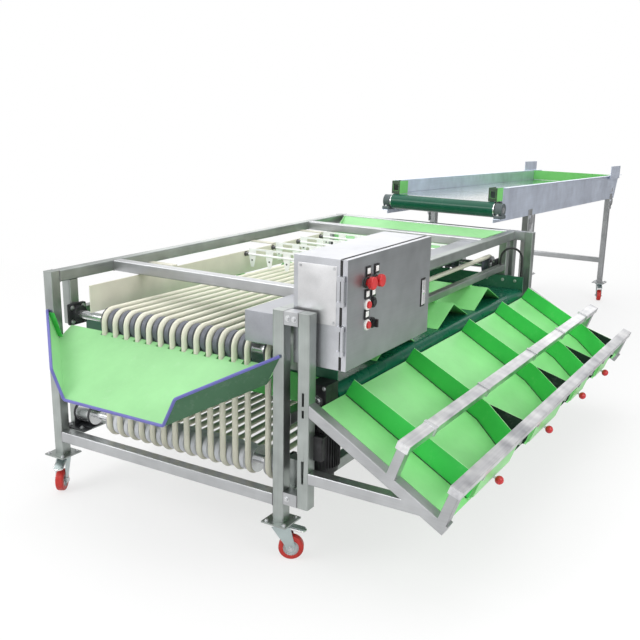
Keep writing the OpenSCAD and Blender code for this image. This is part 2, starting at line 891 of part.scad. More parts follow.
// Points of a round tube along a route
function way(p, i) = let (d = p[min(i + 1, len(p) - 1)] - p[max(i - 1, 0)]) d / norm(d);
function unit(v) = v / norm(v);
function tube_ring(p, i) = let (t = way(p, i), u = unit(cross(t, [1, -1, 0])), v = cross(t, u))
  [for (k = [0:cable_sides - 1]) let (a = 360 * k / cable_sides)
    p[i] + cable_d / 2 * (cos(a) * u + sin(a) * v)];

// Black cable that rises from the guide rail, loops over and goes into the cross conveyor's far plate
module motor_cable() {
  n = len(cable_route);
  c = cable_sides;
  color("black")
    polyhedron(points = [for (i = [0:n - 1]) each tube_ring(cable_route, i)],
      faces = concat([[for (k = [0:c - 1]) k]], [[for (k = [0:c - 1]) n * c - 1 - k]],
        [for (i = [0:n - 2], k = [0:c - 1]) each
          [[i * c + (k + 1) % c, i * c + k, (i + 1) * c + k],
            [i * c + (k + 1) % c, (i + 1) * c + k, (i + 1) * c + (k + 1) % c]]]));
}

// Control cabinet

// Steel box on the top rail's outer face, with hinge pins on its near side
module cabinet_body() {
  color("lightgray") {
    difference() {
      block([hx, cabinet_y, cabinet_z], [door_x - door_gap - hx, cabinet_w, cabinet_h]);
      block([hx + cabinet_wall, cabinet_y + cabinet_wall, cabinet_z + cabinet_wall],
        [cabinet_d, cabinet_w - 2 * cabinet_wall, cabinet_h - 2 * cabinet_wall]);
    }
    for (z = hinge_z)
      translate([door_x + hinge_d / 2, cabinet_y - hinge_off, cabinet_z + z]) {
        cylinder(h = hinge_h, d = hinge_pin_d);
        for (k = [-hinge_end, hinge_h])
          translate([0, 0, k]) {
            cylinder(h = hinge_end, d = hinge_d);
            block([-hinge_d / 2 - door_gap - hinge_tab, -hinge_d / 3, 0],
              [hinge_tab + door_gap + hinge_d / 2, 2 * hinge_d / 3, hinge_end]);
            block([-hinge_d / 2 - door_gap - hinge_tab, 0, 0], [hinge_tab, hinge_off, hinge_end]);
          }
      }
  }
}

// Door: a folded pan with collars for the controls and hinge knuckles along its near edge
module cabinet_door() {
  color("gray")
    difference() {
      union() {
        block([door_x, cabinet_y, cabinet_z], [door_t, cabinet_w, cabinet_h]);
        for (c = controls)
          bar_x(cabinet_x1 - over, cabinet_x1 + collar_h, collar_d, cabinet_y + c[0], cabinet_z + c[1]);
        for (z = hinge_z)
          translate([door_x + hinge_d / 2, cabinet_y - hinge_off, cabinet_z + z + gap]) {
            cylinder(h = hinge_h - 2 * gap, d = hinge_d);
            block([-hinge_d / 2, 0, 0], [hinge_d, hinge_off, hinge_h - 2 * gap]);
          }
      }
      block([door_x - over, cabinet_y + cabinet_wall, cabinet_z + cabinet_wall],
        [door_t - cabinet_wall + over, cabinet_w - 2 * cabinet_wall, cabinet_h - 2 * cabinet_wall]);
      for (c = concat(controls, [[latch_at[0], latch_at[1], stem_d]]))
        bar_x(cabinet_x1 - door_t, cabinet_x1 + collar_h + over, c[2] + 2 * run_gap, cabinet_y + c[0],
          cabinet_z + c[1]);
      for (z = hinge_z)
        translate([door_x + hinge_d / 2, cabinet_y - hinge_off, cabinet_z + z])
          cylinder(h = hinge_h, d = hinge_pin_d + 2 * run_gap);
    }
}

// Latch handle near the door's far edge, on a pin through the door
module door_latch() {
  y = cabinet_y + latch_at[0];
  z = cabinet_z + latch_at[1];
  color("silver") {
    block([cabinet_x1 + gap, y - latch_w / 2, z - latch_h / 2], [latch_t, latch_w, latch_h]);
    bar_x(cabinet_x1 - stem_in, cabinet_x1 + latch_t + latch_pin_out, stem_d, y, z);
  }
}

// A red mushroom stop button on a stem through its collar
module stop_button(y) {
  color("red") {
    bar_x(cabinet_x1 - stem_in, cabinet_x1 + stop_rise, stop_stem_d, cabinet_y + y, cabinet_z + stop_z);
    bar_x(cabinet_x1 + stop_rise - over, cabinet_x1 + stop_rise + stop_h, stop_d, cabinet_y + y,
      cabinet_z + stop_z);
  }
}

module stop_button_near() {
  stop_button(stop_y[0]);
}

module stop_button_far() {
  stop_button(stop_y[1]);
}

// A red push button in its collar
module push_button(z) {
  color("red")
    bar_x(cabinet_x1 - stem_in, cabinet_x1 + collar_h + push_rise, push_d, cabinet_y + push_y, cabinet_z + z);
}

module push_button_upper() {
  push_button(push_z[0]);
}

module push_button_lower() {
  push_button(push_z[1]);
}

// Turning selector with a raised grip
module selector() {
  x0 = cabinet_x1 + collar_h + gap;
  y = cabinet_y + selector_y;
  z = cabinet_z + push_z[1];
  color("black") {
    bar_x(cabinet_x1 - stem_in, x0 + over, stem_d, y, z);
    bar_x(x0, x0 + selector_h, selector_d, y, z);
    block([x0, y - selector_grip / 2, z - selector_d / 2], [2 * selector_h, selector_grip, selector_d]);
  }
}

// Side trays

// Outline of an end frame: a sloping member, legs for the bars and a brace down to the outrigger
module tray_end() {
  out_x = hx + outrigger_reach;
  slope = tan(tray_slope);
  under = member_h / cos(tray_slope);
  brace_x = tray_x + (tray_z - under - brace_z) / slope + member_h / 2;
  difference() {
    union() {
      translate([tray_x, tray_z])
        rotate(-tray_slope) {
          translate([-member_back, -member_h])
            square([tray_l + member_back, member_h]);
          for (s = [bar_mid_s, leg_low_s])
            translate([s, 0])
              rotate(leg_lean)
                translate([-leg_w / 2, -member_h / 2])
                  square([leg_w, leg_h + member_h / 2]);
        }
      polygon([[out_x - member_back, brace_z], [out_x - member_back, brace_z + brace_h],
        [brace_x - brace_h / slope, brace_z + brace_h], [brace_x, brace_z]]);
    }
    translate([out_x - tray_l, 0])
      square([tray_l, frame_h]);
  }
}

// End frames of the trays, welded to the outriggers
module tray_frame() {
  color("silver")
    for (y = [0, far_y])
      prism_y(y, y + tube)
        tray_end();
}

// Floor panels between the dividers, each narrowing towards its outlet
module tray_floor() {
  edges = concat([tube], divider_y, [far_y]);
  n = len(edges) - 1;
  clear = divider_t / 2 + gap;
  color("palegreen")
    on_tray()
      translate([0, 0, -tray_floor_t])
        linear_extrude(height = tray_floor_t)
          for (i = [0:n - 1]) {
            near = edges[i] + (i == 0 ? 0 : clear);
            far = edges[i + 1] - (i == n - 1 ? 0 : clear);
            near_in = i < 2 ? 0 : divider_spread;
            far_in = i == 0 || i == n - 1 ? 0 : divider_spread;
            polygon([[tray_start_s, near], [split_s, near], [tray_floor_l, near + near_in],
              [tray_floor_l, far - far_in], [split_s, far], [tray_start_s, far]]);
          }
}

function divider_h(s) = divider_h_top + (divider_h_low - divider_h_top) * s / tray_l;

// Upright dividers, single above the middle bar and opened into a V below it
module tray_dividers() {
  low = tray_floor_l - gate_off / 2;
  half = divider_t / 2;
  open = divider_spread * (low - split_s) / (tray_floor_l - split_s);
  crotch = split_s + half * (low - split_s) / open;
  color("limegreen")
    on_tray()
      for (i = [0:len(divider_y) - 1])
        translate([0, divider_y[i], 0])
          intersection() {
            translate([0, 0, -tray_l])
              linear_extrude(height = 2 * tray_l)
                if (i == 0)
                  polygon([[tray_start_s, -half], [low, -half], [low, half], [tray_start_s, half]]);
                else
                  polygon([[tray_start_s, -half], [split_s, -half], [low, -open - half], [low, half - open],
                    [crotch, 0], [low, open - half], [low, open + half], [split_s, half],
                    [tray_start_s, half]]);
            prism_y(-tray_l, tray_l)
              polygon([[0, -tray_floor_t], [tray_l, -tray_floor_t], [low + tray_floor_t, 0],
                [low - divider_h(low) * tan(leg_lean), divider_h(low)], [0, divider_h(0)]]);
          }
}

// Bars over the trays with their clips and gate lugs, and the ties under the floor
module tray_bars() {
  color("silver") {
    on_tray()
      for (s = tray_tie_s)
        block([s, tube, -tray_floor_t - tray_tie], [tray_tie, frame_l - 2 * tube, tray_tie]);
    on_leg(bar_mid_s) {
      block([-bar_w / 2, 0, leg_h], [bar_w, frame_l, bar_t]);
      for (y = divider_y)
        block([-bar_w / 2 - clip_t, y - clip_w / 2, leg_h - clip_t],
          [bar_w + 2 * clip_t, clip_w, bar_t + 2 * clip_t]);
    }
    on_leg(leg_low_s)
      difference() {
        union() {
          block([-bar_w / 2, 0, leg_h], [bar_w, frame_l, bar_t]);
          for (i = [0:3], sy = [-1, 1])
            block([gate_off - lug_w, gate_mid[i] + sy * (gate_half[i] + lug_w / 2) - lug_w / 2, leg_h - lug_h],
              [2 * lug_w, lug_w, lug_h + over]);
        }
        for (i = [0:3])
          bar_y(gate_mid[i] - gate_half[i] - 2 * lug_w, gate_mid[i] + gate_half[i] + 2 * lug_w,
            gate_rod_d + 2 * run_gap, gate_off, leg_h - gate_rod_d / 2 - gate_rod_drop);
      }
  }
}

// An outlet gate hung on a rod under the lower bar, with a ball knob
module gate(i) {
  rod_at = leg_h - gate_rod_d / 2 - gate_rod_drop;
  w = gate_half[i] - gap;
  on_leg(leg_low_s)
    translate([0, gate_mid[i], 0]) {
      color("lightgreen")
        block([gate_off - gate_t / 2, -w, gate_low], [gate_t, 2 * w, rod_at - gate_low]);
      color("silver") {
        bar_y(-w - lug_w, w + lug_w, gate_rod_d, gate_off, rod_at);
        bar_x(gate_off, gate_off + knob_stem_l, knob_stem_d, 0, knob_up);
      }
      color("red")
        translate([gate_off + knob_stem_l + knob_d / 4, 0, knob_up])
          sphere(d = knob_d);
    }
}

module gate_1() {
  gate(0);
}

module gate_2() {
  gate(1);
}

module gate_3() {
  gate(2);
}

module gate_4() {
  gate(3);
}

// Infeed conveyor

infeed_top = infeed_low + infeed_side_h;
infeed_end = infeed_l + infeed_tail_run;

// Folded side plates with a low tongue under the head bearing, a raked tail and a raised ear
module infeed_sides() {
  color("lightgray")
    on_infeed()
      for (sx = [-1, 1]) {
        x0 = sx > 0 ? infeed_half : -infeed_half - infeed_side_t;
        out = sx > 0 ? infeed_half : -infeed_half - infeed_flange;
        difference() {
          prism_x(x0, x0 + infeed_side_t)
            polygon([[infeed_tongue_y, infeed_low], [infeed_end, infeed_low],
              [infeed_end + infeed_tail_flare, infeed_top], [infeed_start, infeed_top],
              [infeed_start, infeed_low + infeed_tongue_h], [infeed_tongue_y, infeed_low + infeed_tongue_h]]);
          bar_x(x0 - over, x0 + infeed_side_t + over, shaft_d + 2 * run_gap, infeed_l, 0);
        }
        block([out, infeed_start, infeed_top - infeed_side_t],
          [infeed_flange, infeed_end + infeed_tail_flare - infeed_start, infeed_side_t]);
        block([sx > 0 ? infeed_half : -infeed_half - pillow_l, infeed_tongue_y,
          infeed_low + infeed_tongue_h - infeed_side_t], [pillow_l, infeed_start - infeed_tongue_y, infeed_side_t]);
        block([sx > 0 ? infeed_half + infeed_flange - infeed_side_t : -infeed_half - infeed_flange,
          infeed_end + ear_back - ear_l, infeed_top - ear_lap], [infeed_side_t, ear_l, ear_h + ear_lap]);
      }
}

module infeed_belt() {
  color("seagreen")
    on_infeed()
      prism_x(-infeed_belt_w / 2, infeed_belt_w / 2)
        band(infeed_l, infeed_r + gap, belt_t);
}

// Sheet on which the belt slides between its rollers
module infeed_bed() {
  color("silver")
    on_infeed()
      block([-infeed_half, infeed_bed_end, infeed_r - infeed_bed_t],
        [2 * infeed_half, infeed_l - 2 * infeed_bed_end, infeed_bed_t]);
}

// A conveyor roller on a shaft that reaches past the side plates by a length
module infeed_roller(y, reach) {
  color("slategray")
    on_infeed() {
      bar_x(-infeed_half + infeed_roller_side, infeed_half - infeed_roller_side, infeed_roller_d, y, 0);
      bar_x(-infeed_half - reach, infeed_half + reach, shaft_d, y, 0);
    }
}

module infeed_head_roller() {
  infeed_roller(0, pillow_l);
}

module infeed_tail_roller() {
  infeed_roller(infeed_l, infeed_side_t);
}

// Folded covers over the head's corners, and the board across the tail
module infeed_guards() {
  low = infeed_r + belt_t + 2 * gap + over;
  h = infeed_top - low;
  color("lightgreen")
    on_infeed() {
      for (sx = [-1, 1])
        translate([sx > 0 ? infeed_half - guard_box_w : -infeed_half, 0, 0])
          difference() {
            block([0, guard_box_y, low], [guard_box_w, guard_box_l, h]);
            block([sheet_t, guard_box_y + sheet_t, low - over],
              [guard_box_w - 2 * sheet_t, guard_box_l, h + 2 * over]);
            block([guard_box_w * guard_window_shares[0], guard_box_y - over, low + h * guard_window_shares[1]],
              [guard_box_w * (1 - 2 * guard_window_shares[0]), sheet_t + 2 * over,
                h * (1 - 2 * guard_window_shares[1])]);
          }
      block([-infeed_half, infeed_l - back_board_y, low], [2 * infeed_half, sheet_t, h]);
    }
}

// Legs of the infeed conveyor with saddles under its side plates, feet in front and castor plates behind
module infeed_stand() {
  color("silver")
    for (sx = [-1, 1]) {
      x = infeed_x + sx * infeed_leg_x;
      face = infeed_x + sx * (infeed_half + infeed_side_t);
      difference() {
        for (y = [infeed_leg_front, infeed_leg_rear])
          block([x - infeed_leg / 2, infeed_y + y - infeed_leg / 2, foot_z],
            [infeed_leg, infeed_leg, infeed_z - foot_z]);
        on_infeed()
          block([-2 * infeed_half, 0, infeed_low], [4 * infeed_half, infeed_end, infeed_side_h]);
      }
      for (y = [infeed_leg_front, infeed_leg_rear])
        translate([0, infeed_y + y, infeed_z - y * tan(infeed_fall) + infeed_low]) {
          block([sx > 0 ? face : face - saddle_t, -saddle_w / 2, saddle_up - saddle_h],
            [saddle_t, saddle_w, saddle_h]);
          bar_x(sx > 0 ? face : face - saddle_t - saddle_disc_t, sx > 0 ? face + saddle_t + saddle_disc_t : face,
            saddle_disc_d, 0, saddle_up - saddle_h / 2);
        }
      translate([x, infeed_y + infeed_leg_front, 0]) {
        cylinder(h = pad_h, d = pad_d);
        cylinder(h = foot_z + over, d = pad_stem_d);
      }
      translate([x, infeed_y + infeed_leg_rear, 0])
        block([-foot_plate_w / 2, -foot_plate_w / 2, foot_z - plate_t], [foot_plate_w, foot_plate_w, plate_t]);
    }
}

// Castors

axle_z = wheel_d / 2;

// A frame at one castor's swivel, turned the way that it trails along X
module on_castor(i) {
  translate(castor_at[i])
    rotate([0, 0, castor_turn[i]])
      children();
}

// Swivel head, fork with its axle, and brake pedal
module castor_fork(i) {
  crown_z = castor_top - castor_disc_h - castor_crown_h;
  half = wheel_w / 2 + cheek_gap;
  color("silver")
    on_castor(i) {
      translate([0, 0, castor_top - castor_disc_h])
        cylinder(h = castor_disc_h, d = castor_disc_d);
      block([-cheek_w / 2, -half - cheek_t, crown_z], [cheek_w, 2 * (half + cheek_t), castor_crown_h + over]);
      for (y = [-half - cheek_t, half])
        prism_y(y, y + cheek_t) {
          polygon([[-cheek_w / 2, crown_z + over], [cheek_w / 2, crown_z + over],
            [wheel_trail + cheek_end_d / 2, axle_z], [wheel_trail - cheek_end_d / 2, axle_z]]);
          translate([wheel_trail, axle_z])
            circle(d = cheek_end_d);
        }
      bar_y(-half - 2 * cheek_t, half + 2 * cheek_t, axle_d, wheel_trail, axle_z);
      translate([cheek_w / 2 - pedal_root, 0, crown_z])
        rotate([0, pedal_drop, 0])
          block([0, -pedal_w / 2, castor_crown_h - pedal_t], [pedal_l, pedal_w, pedal_t]);
    }
}

// Red wheel with rounded tread and recessed hub faces
module castor_wheel(i) {
  r = wheel_d / 2;
  w = wheel_w / 2;
  color("crimson")
    on_castor(i)
      translate([wheel_trail, 0, axle_z])
        rotate([90, 0, 0])
          rotate_extrude()
            difference() {
              union() {
                translate([0, -w + tyre_round])
                  square([r, 2 * (w - tyre_round)]);
                translate([0, -w])
                  square([r - tyre_round, 2 * w]);
                for (sy = [-1, 1])
                  translate([r - tyre_round, sy * (w - tyre_round)])
                    circle(r = tyre_round);
              }
              translate([-r, -w - over])
                square([r + axle_d / 2 + run_gap, 2 * (w + over)]);
              for (y = [-w - over, w - hub_recess])
                translate([axle_d, y])
                  square([hub_d / 2 - axle_d, hub_recess + over]);
            }
}

module placed() {
  translate(-part_mid)
    children();
}

placed() frame_posts();
placed() side_rails();
placed() cross_bars();
placed() outriggers();
placed() bearing_units();
placed() left_board();
placed() right_guard();
placed() comb_front();
placed() comb_rear();
placed() outlet_chute();
placed() infeed_apron();
placed() deck_ropes();
placed() rope_returns();
placed() upper_outlet_roller();
placed() lower_outlet_roller();
placed() upper_infeed_roller();
placed() lower_infeed_roller();
placed() rope_motor();
placed() cross_belt();
placed() belt_drive_roller();
placed() belt_tail_roller();
placed() belt_frame();
placed() belt_dividers();
placed() belt_motor();
placed() motor_cable();
placed() cabinet_body();
placed() cabinet_door();
placed() door_latch();
placed() stop_button_near();
placed() stop_button_far();
placed() push_button_upper();
placed() push_button_lower();
placed() selector();
placed() tray_frame();
placed() tray_floor();
placed() tray_dividers();
placed() tray_bars();
placed() gate_1();
placed() gate_2();
placed() gate_3();
placed() gate_4();
placed() infeed_sides();
placed() infeed_belt();
placed() infeed_bed();
placed() infeed_head_roller();
placed() infeed_tail_roller();
placed() infeed_guards();
placed() infeed_stand();
placed() castor_fork(0);  // castor_fork_1
placed() castor_fork(1);  // castor_fork_2
placed() castor_fork(2);  // castor_fork_3
placed() castor_fork(3);  // castor_fork_4
placed() castor_fork(4);  // castor_fork_5
placed() castor_fork(5);  // castor_fork_6
placed() castor_wheel(0);  // castor_wheel_1
placed() castor_wheel(1);  // castor_wheel_2
placed() castor_wheel(2);  // castor_wheel_3
placed() castor_wheel(3);  // castor_wheel_4
placed() castor_wheel(4);  // castor_wheel_5
placed() castor_wheel(5);  // castor_wheel_6
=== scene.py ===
# The machine as it was packed: every solid at rest, in metres.
# Places are written in millimetres from the middle of the frame's front edge, on the floor.
import math

import bmesh
import bpy
from mathutils import Matrix, Vector


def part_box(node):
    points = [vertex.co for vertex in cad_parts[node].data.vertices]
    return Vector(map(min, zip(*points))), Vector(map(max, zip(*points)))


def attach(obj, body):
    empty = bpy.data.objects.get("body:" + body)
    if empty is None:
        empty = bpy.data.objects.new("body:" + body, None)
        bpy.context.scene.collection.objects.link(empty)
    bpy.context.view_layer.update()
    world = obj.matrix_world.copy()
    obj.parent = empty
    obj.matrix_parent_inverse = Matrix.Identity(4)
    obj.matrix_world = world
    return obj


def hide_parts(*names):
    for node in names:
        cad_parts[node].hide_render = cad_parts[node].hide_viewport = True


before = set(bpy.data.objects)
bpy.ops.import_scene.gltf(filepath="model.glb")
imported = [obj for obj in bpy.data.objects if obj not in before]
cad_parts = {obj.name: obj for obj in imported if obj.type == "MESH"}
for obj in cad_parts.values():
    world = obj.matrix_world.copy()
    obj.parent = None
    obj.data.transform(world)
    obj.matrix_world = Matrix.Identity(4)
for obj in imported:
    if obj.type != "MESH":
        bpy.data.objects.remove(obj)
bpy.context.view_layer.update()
foot_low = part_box("frame_posts")[0]
FOOT_PLATE_OUT = (525.0, 25.0)
ZERO = Vector((foot_low[0] + FOOT_PLATE_OUT[0] / 1000, foot_low[1] + FOOT_PLATE_OUT[1] / 1000, 0.0))
X_OUT, Y_OUT, UP = Vector((1, 0, 0)), Vector((0, 1, 0)), Vector((0, 0, 1))
SIDES = (-1, 1)


def at(x, y, z):
    """A point of the machine, from millimetres to its place in metres."""
    return ZERO + Vector((x, y, z)) / 1000


# Camera in front of the outlet end and to the right of the trays, a little above the cabinet.
# Its place, turn and lens come from the frame's edges in the photograph.
CAMERA_AT = (1852.0, -2000.0, 1397.0)
CAMERA_YAW, CAMERA_DROP, CAMERA_ROLL = (math.radians(a) for a in (29.89, 15.08, 1.33))
PICTURE_SIDE, PICTURE_FOCUS, PICTURE_MIDDLE = 640, 860, (344.1, 331.9)
SENSOR_WIDTH, FAR_CLIP = 36.0, 200.0

ahead = Vector((-math.sin(CAMERA_YAW) * math.cos(CAMERA_DROP), math.cos(CAMERA_YAW) * math.cos(CAMERA_DROP),
                -math.sin(CAMERA_DROP)))
level = Vector((math.cos(CAMERA_YAW), math.sin(CAMERA_YAW), 0.0))
upward = level.cross(ahead)
right = level * math.cos(CAMERA_ROLL) + upward * math.sin(CAMERA_ROLL)
upward = upward * math.cos(CAMERA_ROLL) - level * math.sin(CAMERA_ROLL)
camera = bpy.data.objects.new("camera", bpy.data.cameras.new("camera"))
camera.data.sensor_width = SENSOR_WIDTH
camera.data.lens = PICTURE_FOCUS / PICTURE_SIDE * SENSOR_WIDTH
camera.data.shift_x = (PICTURE_SIDE / 2 - PICTURE_MIDDLE[0]) / PICTURE_SIDE
camera.data.shift_y = (PICTURE_MIDDLE[1] - PICTURE_SIDE / 2) / PICTURE_SIDE
camera.data.clip_end = FAR_CLIP
camera_turn = Matrix((right, upward, -ahead)).transposed().to_4x4()
camera.matrix_world = Matrix.Translation(at(*CAMERA_AT)) @ camera_turn
bpy.context.scene.collection.objects.link(camera)
bpy.context.scene.camera = camera
bpy.context.scene.view_settings.view_transform = "Standard"


# Motor cable: black rubber sheathed cable that rises from the guide rail, loops over and goes into the
# cross conveyor's far plate. Finishes are written as sums on sockets, so the classes for that are here.
class Wire:
    """A socket of a finish. Sums on it add Math nodes."""

    def __init__(self, finish, socket):
        self.finish, self.socket = finish, socket

    def sum(self, operation, *values):
        return self.finish.node("Math", {"operation": operation}, dict(enumerate(values)))

    def most(self, other):
        return self.sum("MAXIMUM", self, other)

    def __add__(self, other):
        return self.sum("ADD", self, other)

    def __sub__(self, other):
        return self.sum("SUBTRACT", self, other)

    def __rsub__(self, other):
        return self.sum("SUBTRACT", other, self)

    def __mul__(self, other):
        return self.sum("MULTIPLY", self, other)

    __radd__, __rmul__ = __add__, __mul__


class Finish:
    """A material or world, and one method that makes any node of it."""

    def __init__(self, name, kind=bpy.data.materials):
        self.material = kind.new(name)
        self.material.use_nodes = True
        self.tree = self.material.node_tree
        self.shader = self.tree.nodes.get("Principled BSDF")

    def node(self, kind, settings=None, inputs=None, output=0):
        made = self.tree.nodes.new("ShaderNode" + kind)
        for key, value in (settings or {}).items():
            setattr(made, key, value)
        for key, value in (inputs or {}).items():
            self.feed(made.inputs[key], value)
        return Wire(self, made.outputs[output])

    def feed(self, socket, value):
        if isinstance(value, Wire):
            self.tree.links.new(value.socket, socket)
        else:
            socket.default_value = value

    def set(self, **values):
        for key, value in values.items():
            self.feed(self.shader.inputs[key.replace("_", " ").title().replace("Ior", "IOR")], value)
        return self

    def place(self):
        return self.node("TexCoord", output="Object")

    def noise(self, scale, vector=None, detail=2.0, rough=0.5):
        return self.node("TexNoise", None, {
            "Vector": vector or self.place(), "Scale": scale, "Detail": detail, "Roughness": rough})

    def dot(self, a, b):
        return self.node("VectorMath", {"operation": "DOT_PRODUCT"}, {0: a, 1: b}, output="Value")

    def band(self, value, low, high):
        """0 below low, 1 above high."""
        return self.node("MapRange", {"clamp": True}, {0: value, 1: low, 2: high})

    def mix(self, factor, a, b):
        """A colour between a and b."""
        return self.node("Mix", {"data_type": "RGBA"}, {0: factor, 6: a, 7: b}, output=2)

    def bump(self, height, strength, distance):
        return self.node("Bump", None, {"Strength": strength, "Distance": distance, "Height": height})

    def sight(self):
        """1 on rays of a mirrored view, and 1 on rays of any view: straight, mirrored or through glass."""
        straight, mirrored, through = (self.node("LightPath", output=f"Is {ray} Ray")
                                       for ray in ("Camera", "Glossy", "Transmission"))
        return mirrored, straight.most(mirrored.most(through))


def tone(r, g, b):
    return (r, g, b, 1.0)


def plastic(name, colour, rough=0.4, mottle=0.12, coat=0.0):
    """Moulded or turned plastic with faint mottling and scuffs."""
    resin = Finish(name)
    cloud, fine = resin.noise(14.0, detail=4.0), resin.noise(300.0, detail=3.0)
    scuff = resin.band(resin.noise(60.0, detail=6.0, rough=0.7), 0.58, 0.75)
    low, high = [tone(*(min(1.0, c * (1 + way * mottle)) for c in colour)) for way in SIDES]
    resin.set(base_color=resin.mix(resin.band(cloud, 0.3, 0.7), low, high))
    resin.set(roughness=rough + 0.12 * scuff + 0.08 * fine, coat_weight=coat)
    return resin.set(normal=resin.bump(fine * 0.5 + scuff * 0.5, 0.10, 0.0006))


CABLE_D, CABLE_BEND, CABLE_RISE = 10.0, 40.0, 30.0
CABLE_FROM, CABLE_TO = Vector((480, 1860, 660)), Vector((571, 1861, 500))
RISE_STEPS, OVER_STEPS, FALL_STEPS, TURN_STEPS = 2, 18, 6, 9
cable_down = CABLE_TO + Vector((0, CABLE_BEND, CABLE_BEND))
cable_reach = Vector((cable_down.x - CABLE_FROM.x, cable_down.y - CABLE_FROM.y, 0))
cable_top = CABLE_FROM + CABLE_RISE * UP
cable_route = [CABLE_FROM + CABLE_RISE * i / RISE_STEPS * UP for i in range(RISE_STEPS + 1)]
for i in range(1, OVER_STEPS + 1):
    a = math.pi * i / OVER_STEPS
    over = cable_reach * (1 - math.cos(a)) / 2 + cable_reach.length / 2 * math.sin(a) * UP
    cable_route.append(cable_top + over)
for i in range(1, FALL_STEPS + 1):
    fall = (cable_down.z - cable_top.z) * i / FALL_STEPS
    cable_route.append(Vector((cable_down.x, cable_down.y, cable_top.z + fall)))
for i in range(1, TURN_STEPS + 1):
    a = math.pi / 2 * i / TURN_STEPS
    cable_route.append(CABLE_TO + CABLE_BEND * Vector((0, math.cos(a), 1 - math.sin(a))))
cable_knots = [at(*p) for p in cable_route]
cable_black = plastic("cable_sheath", (0.012, 0.012, 0.013), 0.45, 0.2)
cable_line = bpy.data.curves.new("motor_cable_line", "CURVE")
cable_line.dimensions = "3D"
cable_line.bevel_depth = CABLE_D / 2000
cable_line.bevel_resolution = 5
cable_line.use_fill_caps = True
cable_line.materials.append(cable_black.material)
cable_spline = cable_line.splines.new("POLY")
cable_spline.points.add(len(cable_knots) - 1)
for knot, spot in zip(cable_spline.points, cable_knots):
    knot.co = (*spot, 1.0)
cable = bpy.data.objects.new("motor_cable_dressed", cable_line)
bpy.context.scene.collection.objects.link(cable)
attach(cable, "machine")
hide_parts("motor_cable")


# Studio floor: a wide pale sheet under soft light, which fades to white away from the machine.
# Metal mirrors it, and the sky, brighter from the front left than from behind.
def mesh_piece(name, bm, finishes, body=None, replaces=(), smooth=40.0):
    """A finished piece from a bmesh, which rides on a body."""
    mesh = bpy.data.meshes.new(name)
    bm.to_mesh(mesh)
    bm.free()
    return dress(name, mesh, finishes, body, replaces, smooth)


def dress(name, mesh, finishes, body, replaces, smooth):
    """An object around a finished mesh, with its finishes, body and the nodes it stands for."""
    piece = bpy.data.objects.new(name, mesh)
    bpy.context.scene.collection.objects.link(piece)
    for finish in finishes:
        mesh.materials.append(finish.material)
    mesh.polygons.foreach_set("use_smooth", [True] * len(mesh.polygons))
    mesh.set_sharp_from_angle(angle=math.radians(smooth))
    if body:
        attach(piece, body)
    if replaces:
        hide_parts(*replaces)
    return piece


FLOOR_SIZE, FLOOR_SQUARES = 40.0, 4
FLOOR_LIFT, FLOOR_FADE, MIRROR_DARK = 0.70, (2.4, 4.6), 0.28
FLOOR_FRONT, FLOOR_SHADE = (-0.55, -0.83, 0.0), (-2.0, 2.2)
floor_paint = Finish("studio_floor")
floor_grain = floor_paint.noise(0.6, detail=1.0)
floor_paint.set(base_color=floor_paint.mix(floor_grain, tone(0.86, 0.86, 0.86), tone(0.89, 0.89, 0.89)),
                roughness=0.9)
floor_place = floor_paint.place()
from_middle = floor_paint.node("VectorMath", {"operation": "LENGTH"}, {0: floor_place}, output="Value")
floor_lit = floor_paint.band(floor_paint.dot(floor_place, FLOOR_FRONT), *FLOOR_SHADE)
floor_mirrored, floor_seen = floor_paint.sight()
glow = floor_paint.node("Emission", None, {
    "Strength": 1 - floor_mirrored * (1 - MIRROR_DARK) * (1 - floor_lit)})
share = floor_seen * (FLOOR_LIFT + (1 - FLOOR_LIFT) * floor_paint.band(from_middle, *FLOOR_FADE))
floor_skin = floor_paint.node("MixShader", None, {
    0: share, 1: Wire(floor_paint, floor_paint.shader.outputs[0]), 2: glow})
floor_paint.feed(floor_paint.tree.nodes["Material Output"].inputs["Surface"], floor_skin)
floor_bm = bmesh.new()
bmesh.ops.create_grid(floor_bm, x_segments=FLOOR_SQUARES, y_segments=FLOOR_SQUARES, size=FLOOR_SIZE)
floor = mesh_piece("studio_floor", floor_bm, [floor_paint])

SKY_LIGHT, SKY_SEEN, SKY_BEHIND = 0.56, 1.0, 0.30
SKY_FRONT, SKY_SHADE, SKY_RISE = (-0.45, -0.75, 0.48), (-0.55, 0.65), (0.02, 0.20)
studio = Finish("studio", bpy.data.worlds)
bpy.context.scene.world = studio.material
sky_way = studio.node("TexCoord", output="Generated")
sky_lit = studio.band(studio.dot(sky_way, SKY_FRONT), *SKY_SHADE)
sky_dark = (1 - sky_lit) * studio.band(studio.dot(sky_way, UP), *SKY_RISE)
sky_mirrored, sky_seen = studio.sight()
sky_shown = SKY_SEEN - sky_mirrored * (SKY_SEEN - SKY_BEHIND) * sky_dark
backdrop = studio.tree.nodes["Background"]
backdrop.inputs["Color"].default_value = tone(1, 1, 1)
studio.feed(backdrop.inputs["Strength"], SKY_LIGHT + sky_seen * (sky_shown - SKY_LIGHT))


def softbox(name, place, target, size, watts):
    """A soft lamp that faces its target and doesn't show itself."""
    lamp = bpy.data.lights.new(name, "AREA")
    lamp.shape, lamp.size, lamp.size_y, lamp.energy = "RECTANGLE", size[0], size[1], watts
    box = bpy.data.objects.new(name, lamp)
    box.location = place
    box.rotation_euler = (Vector(target) - Vector(place)).to_track_quat("-Z", "Y").to_euler()
    box.visible_camera = False
    bpy.context.scene.collection.objects.link(box)


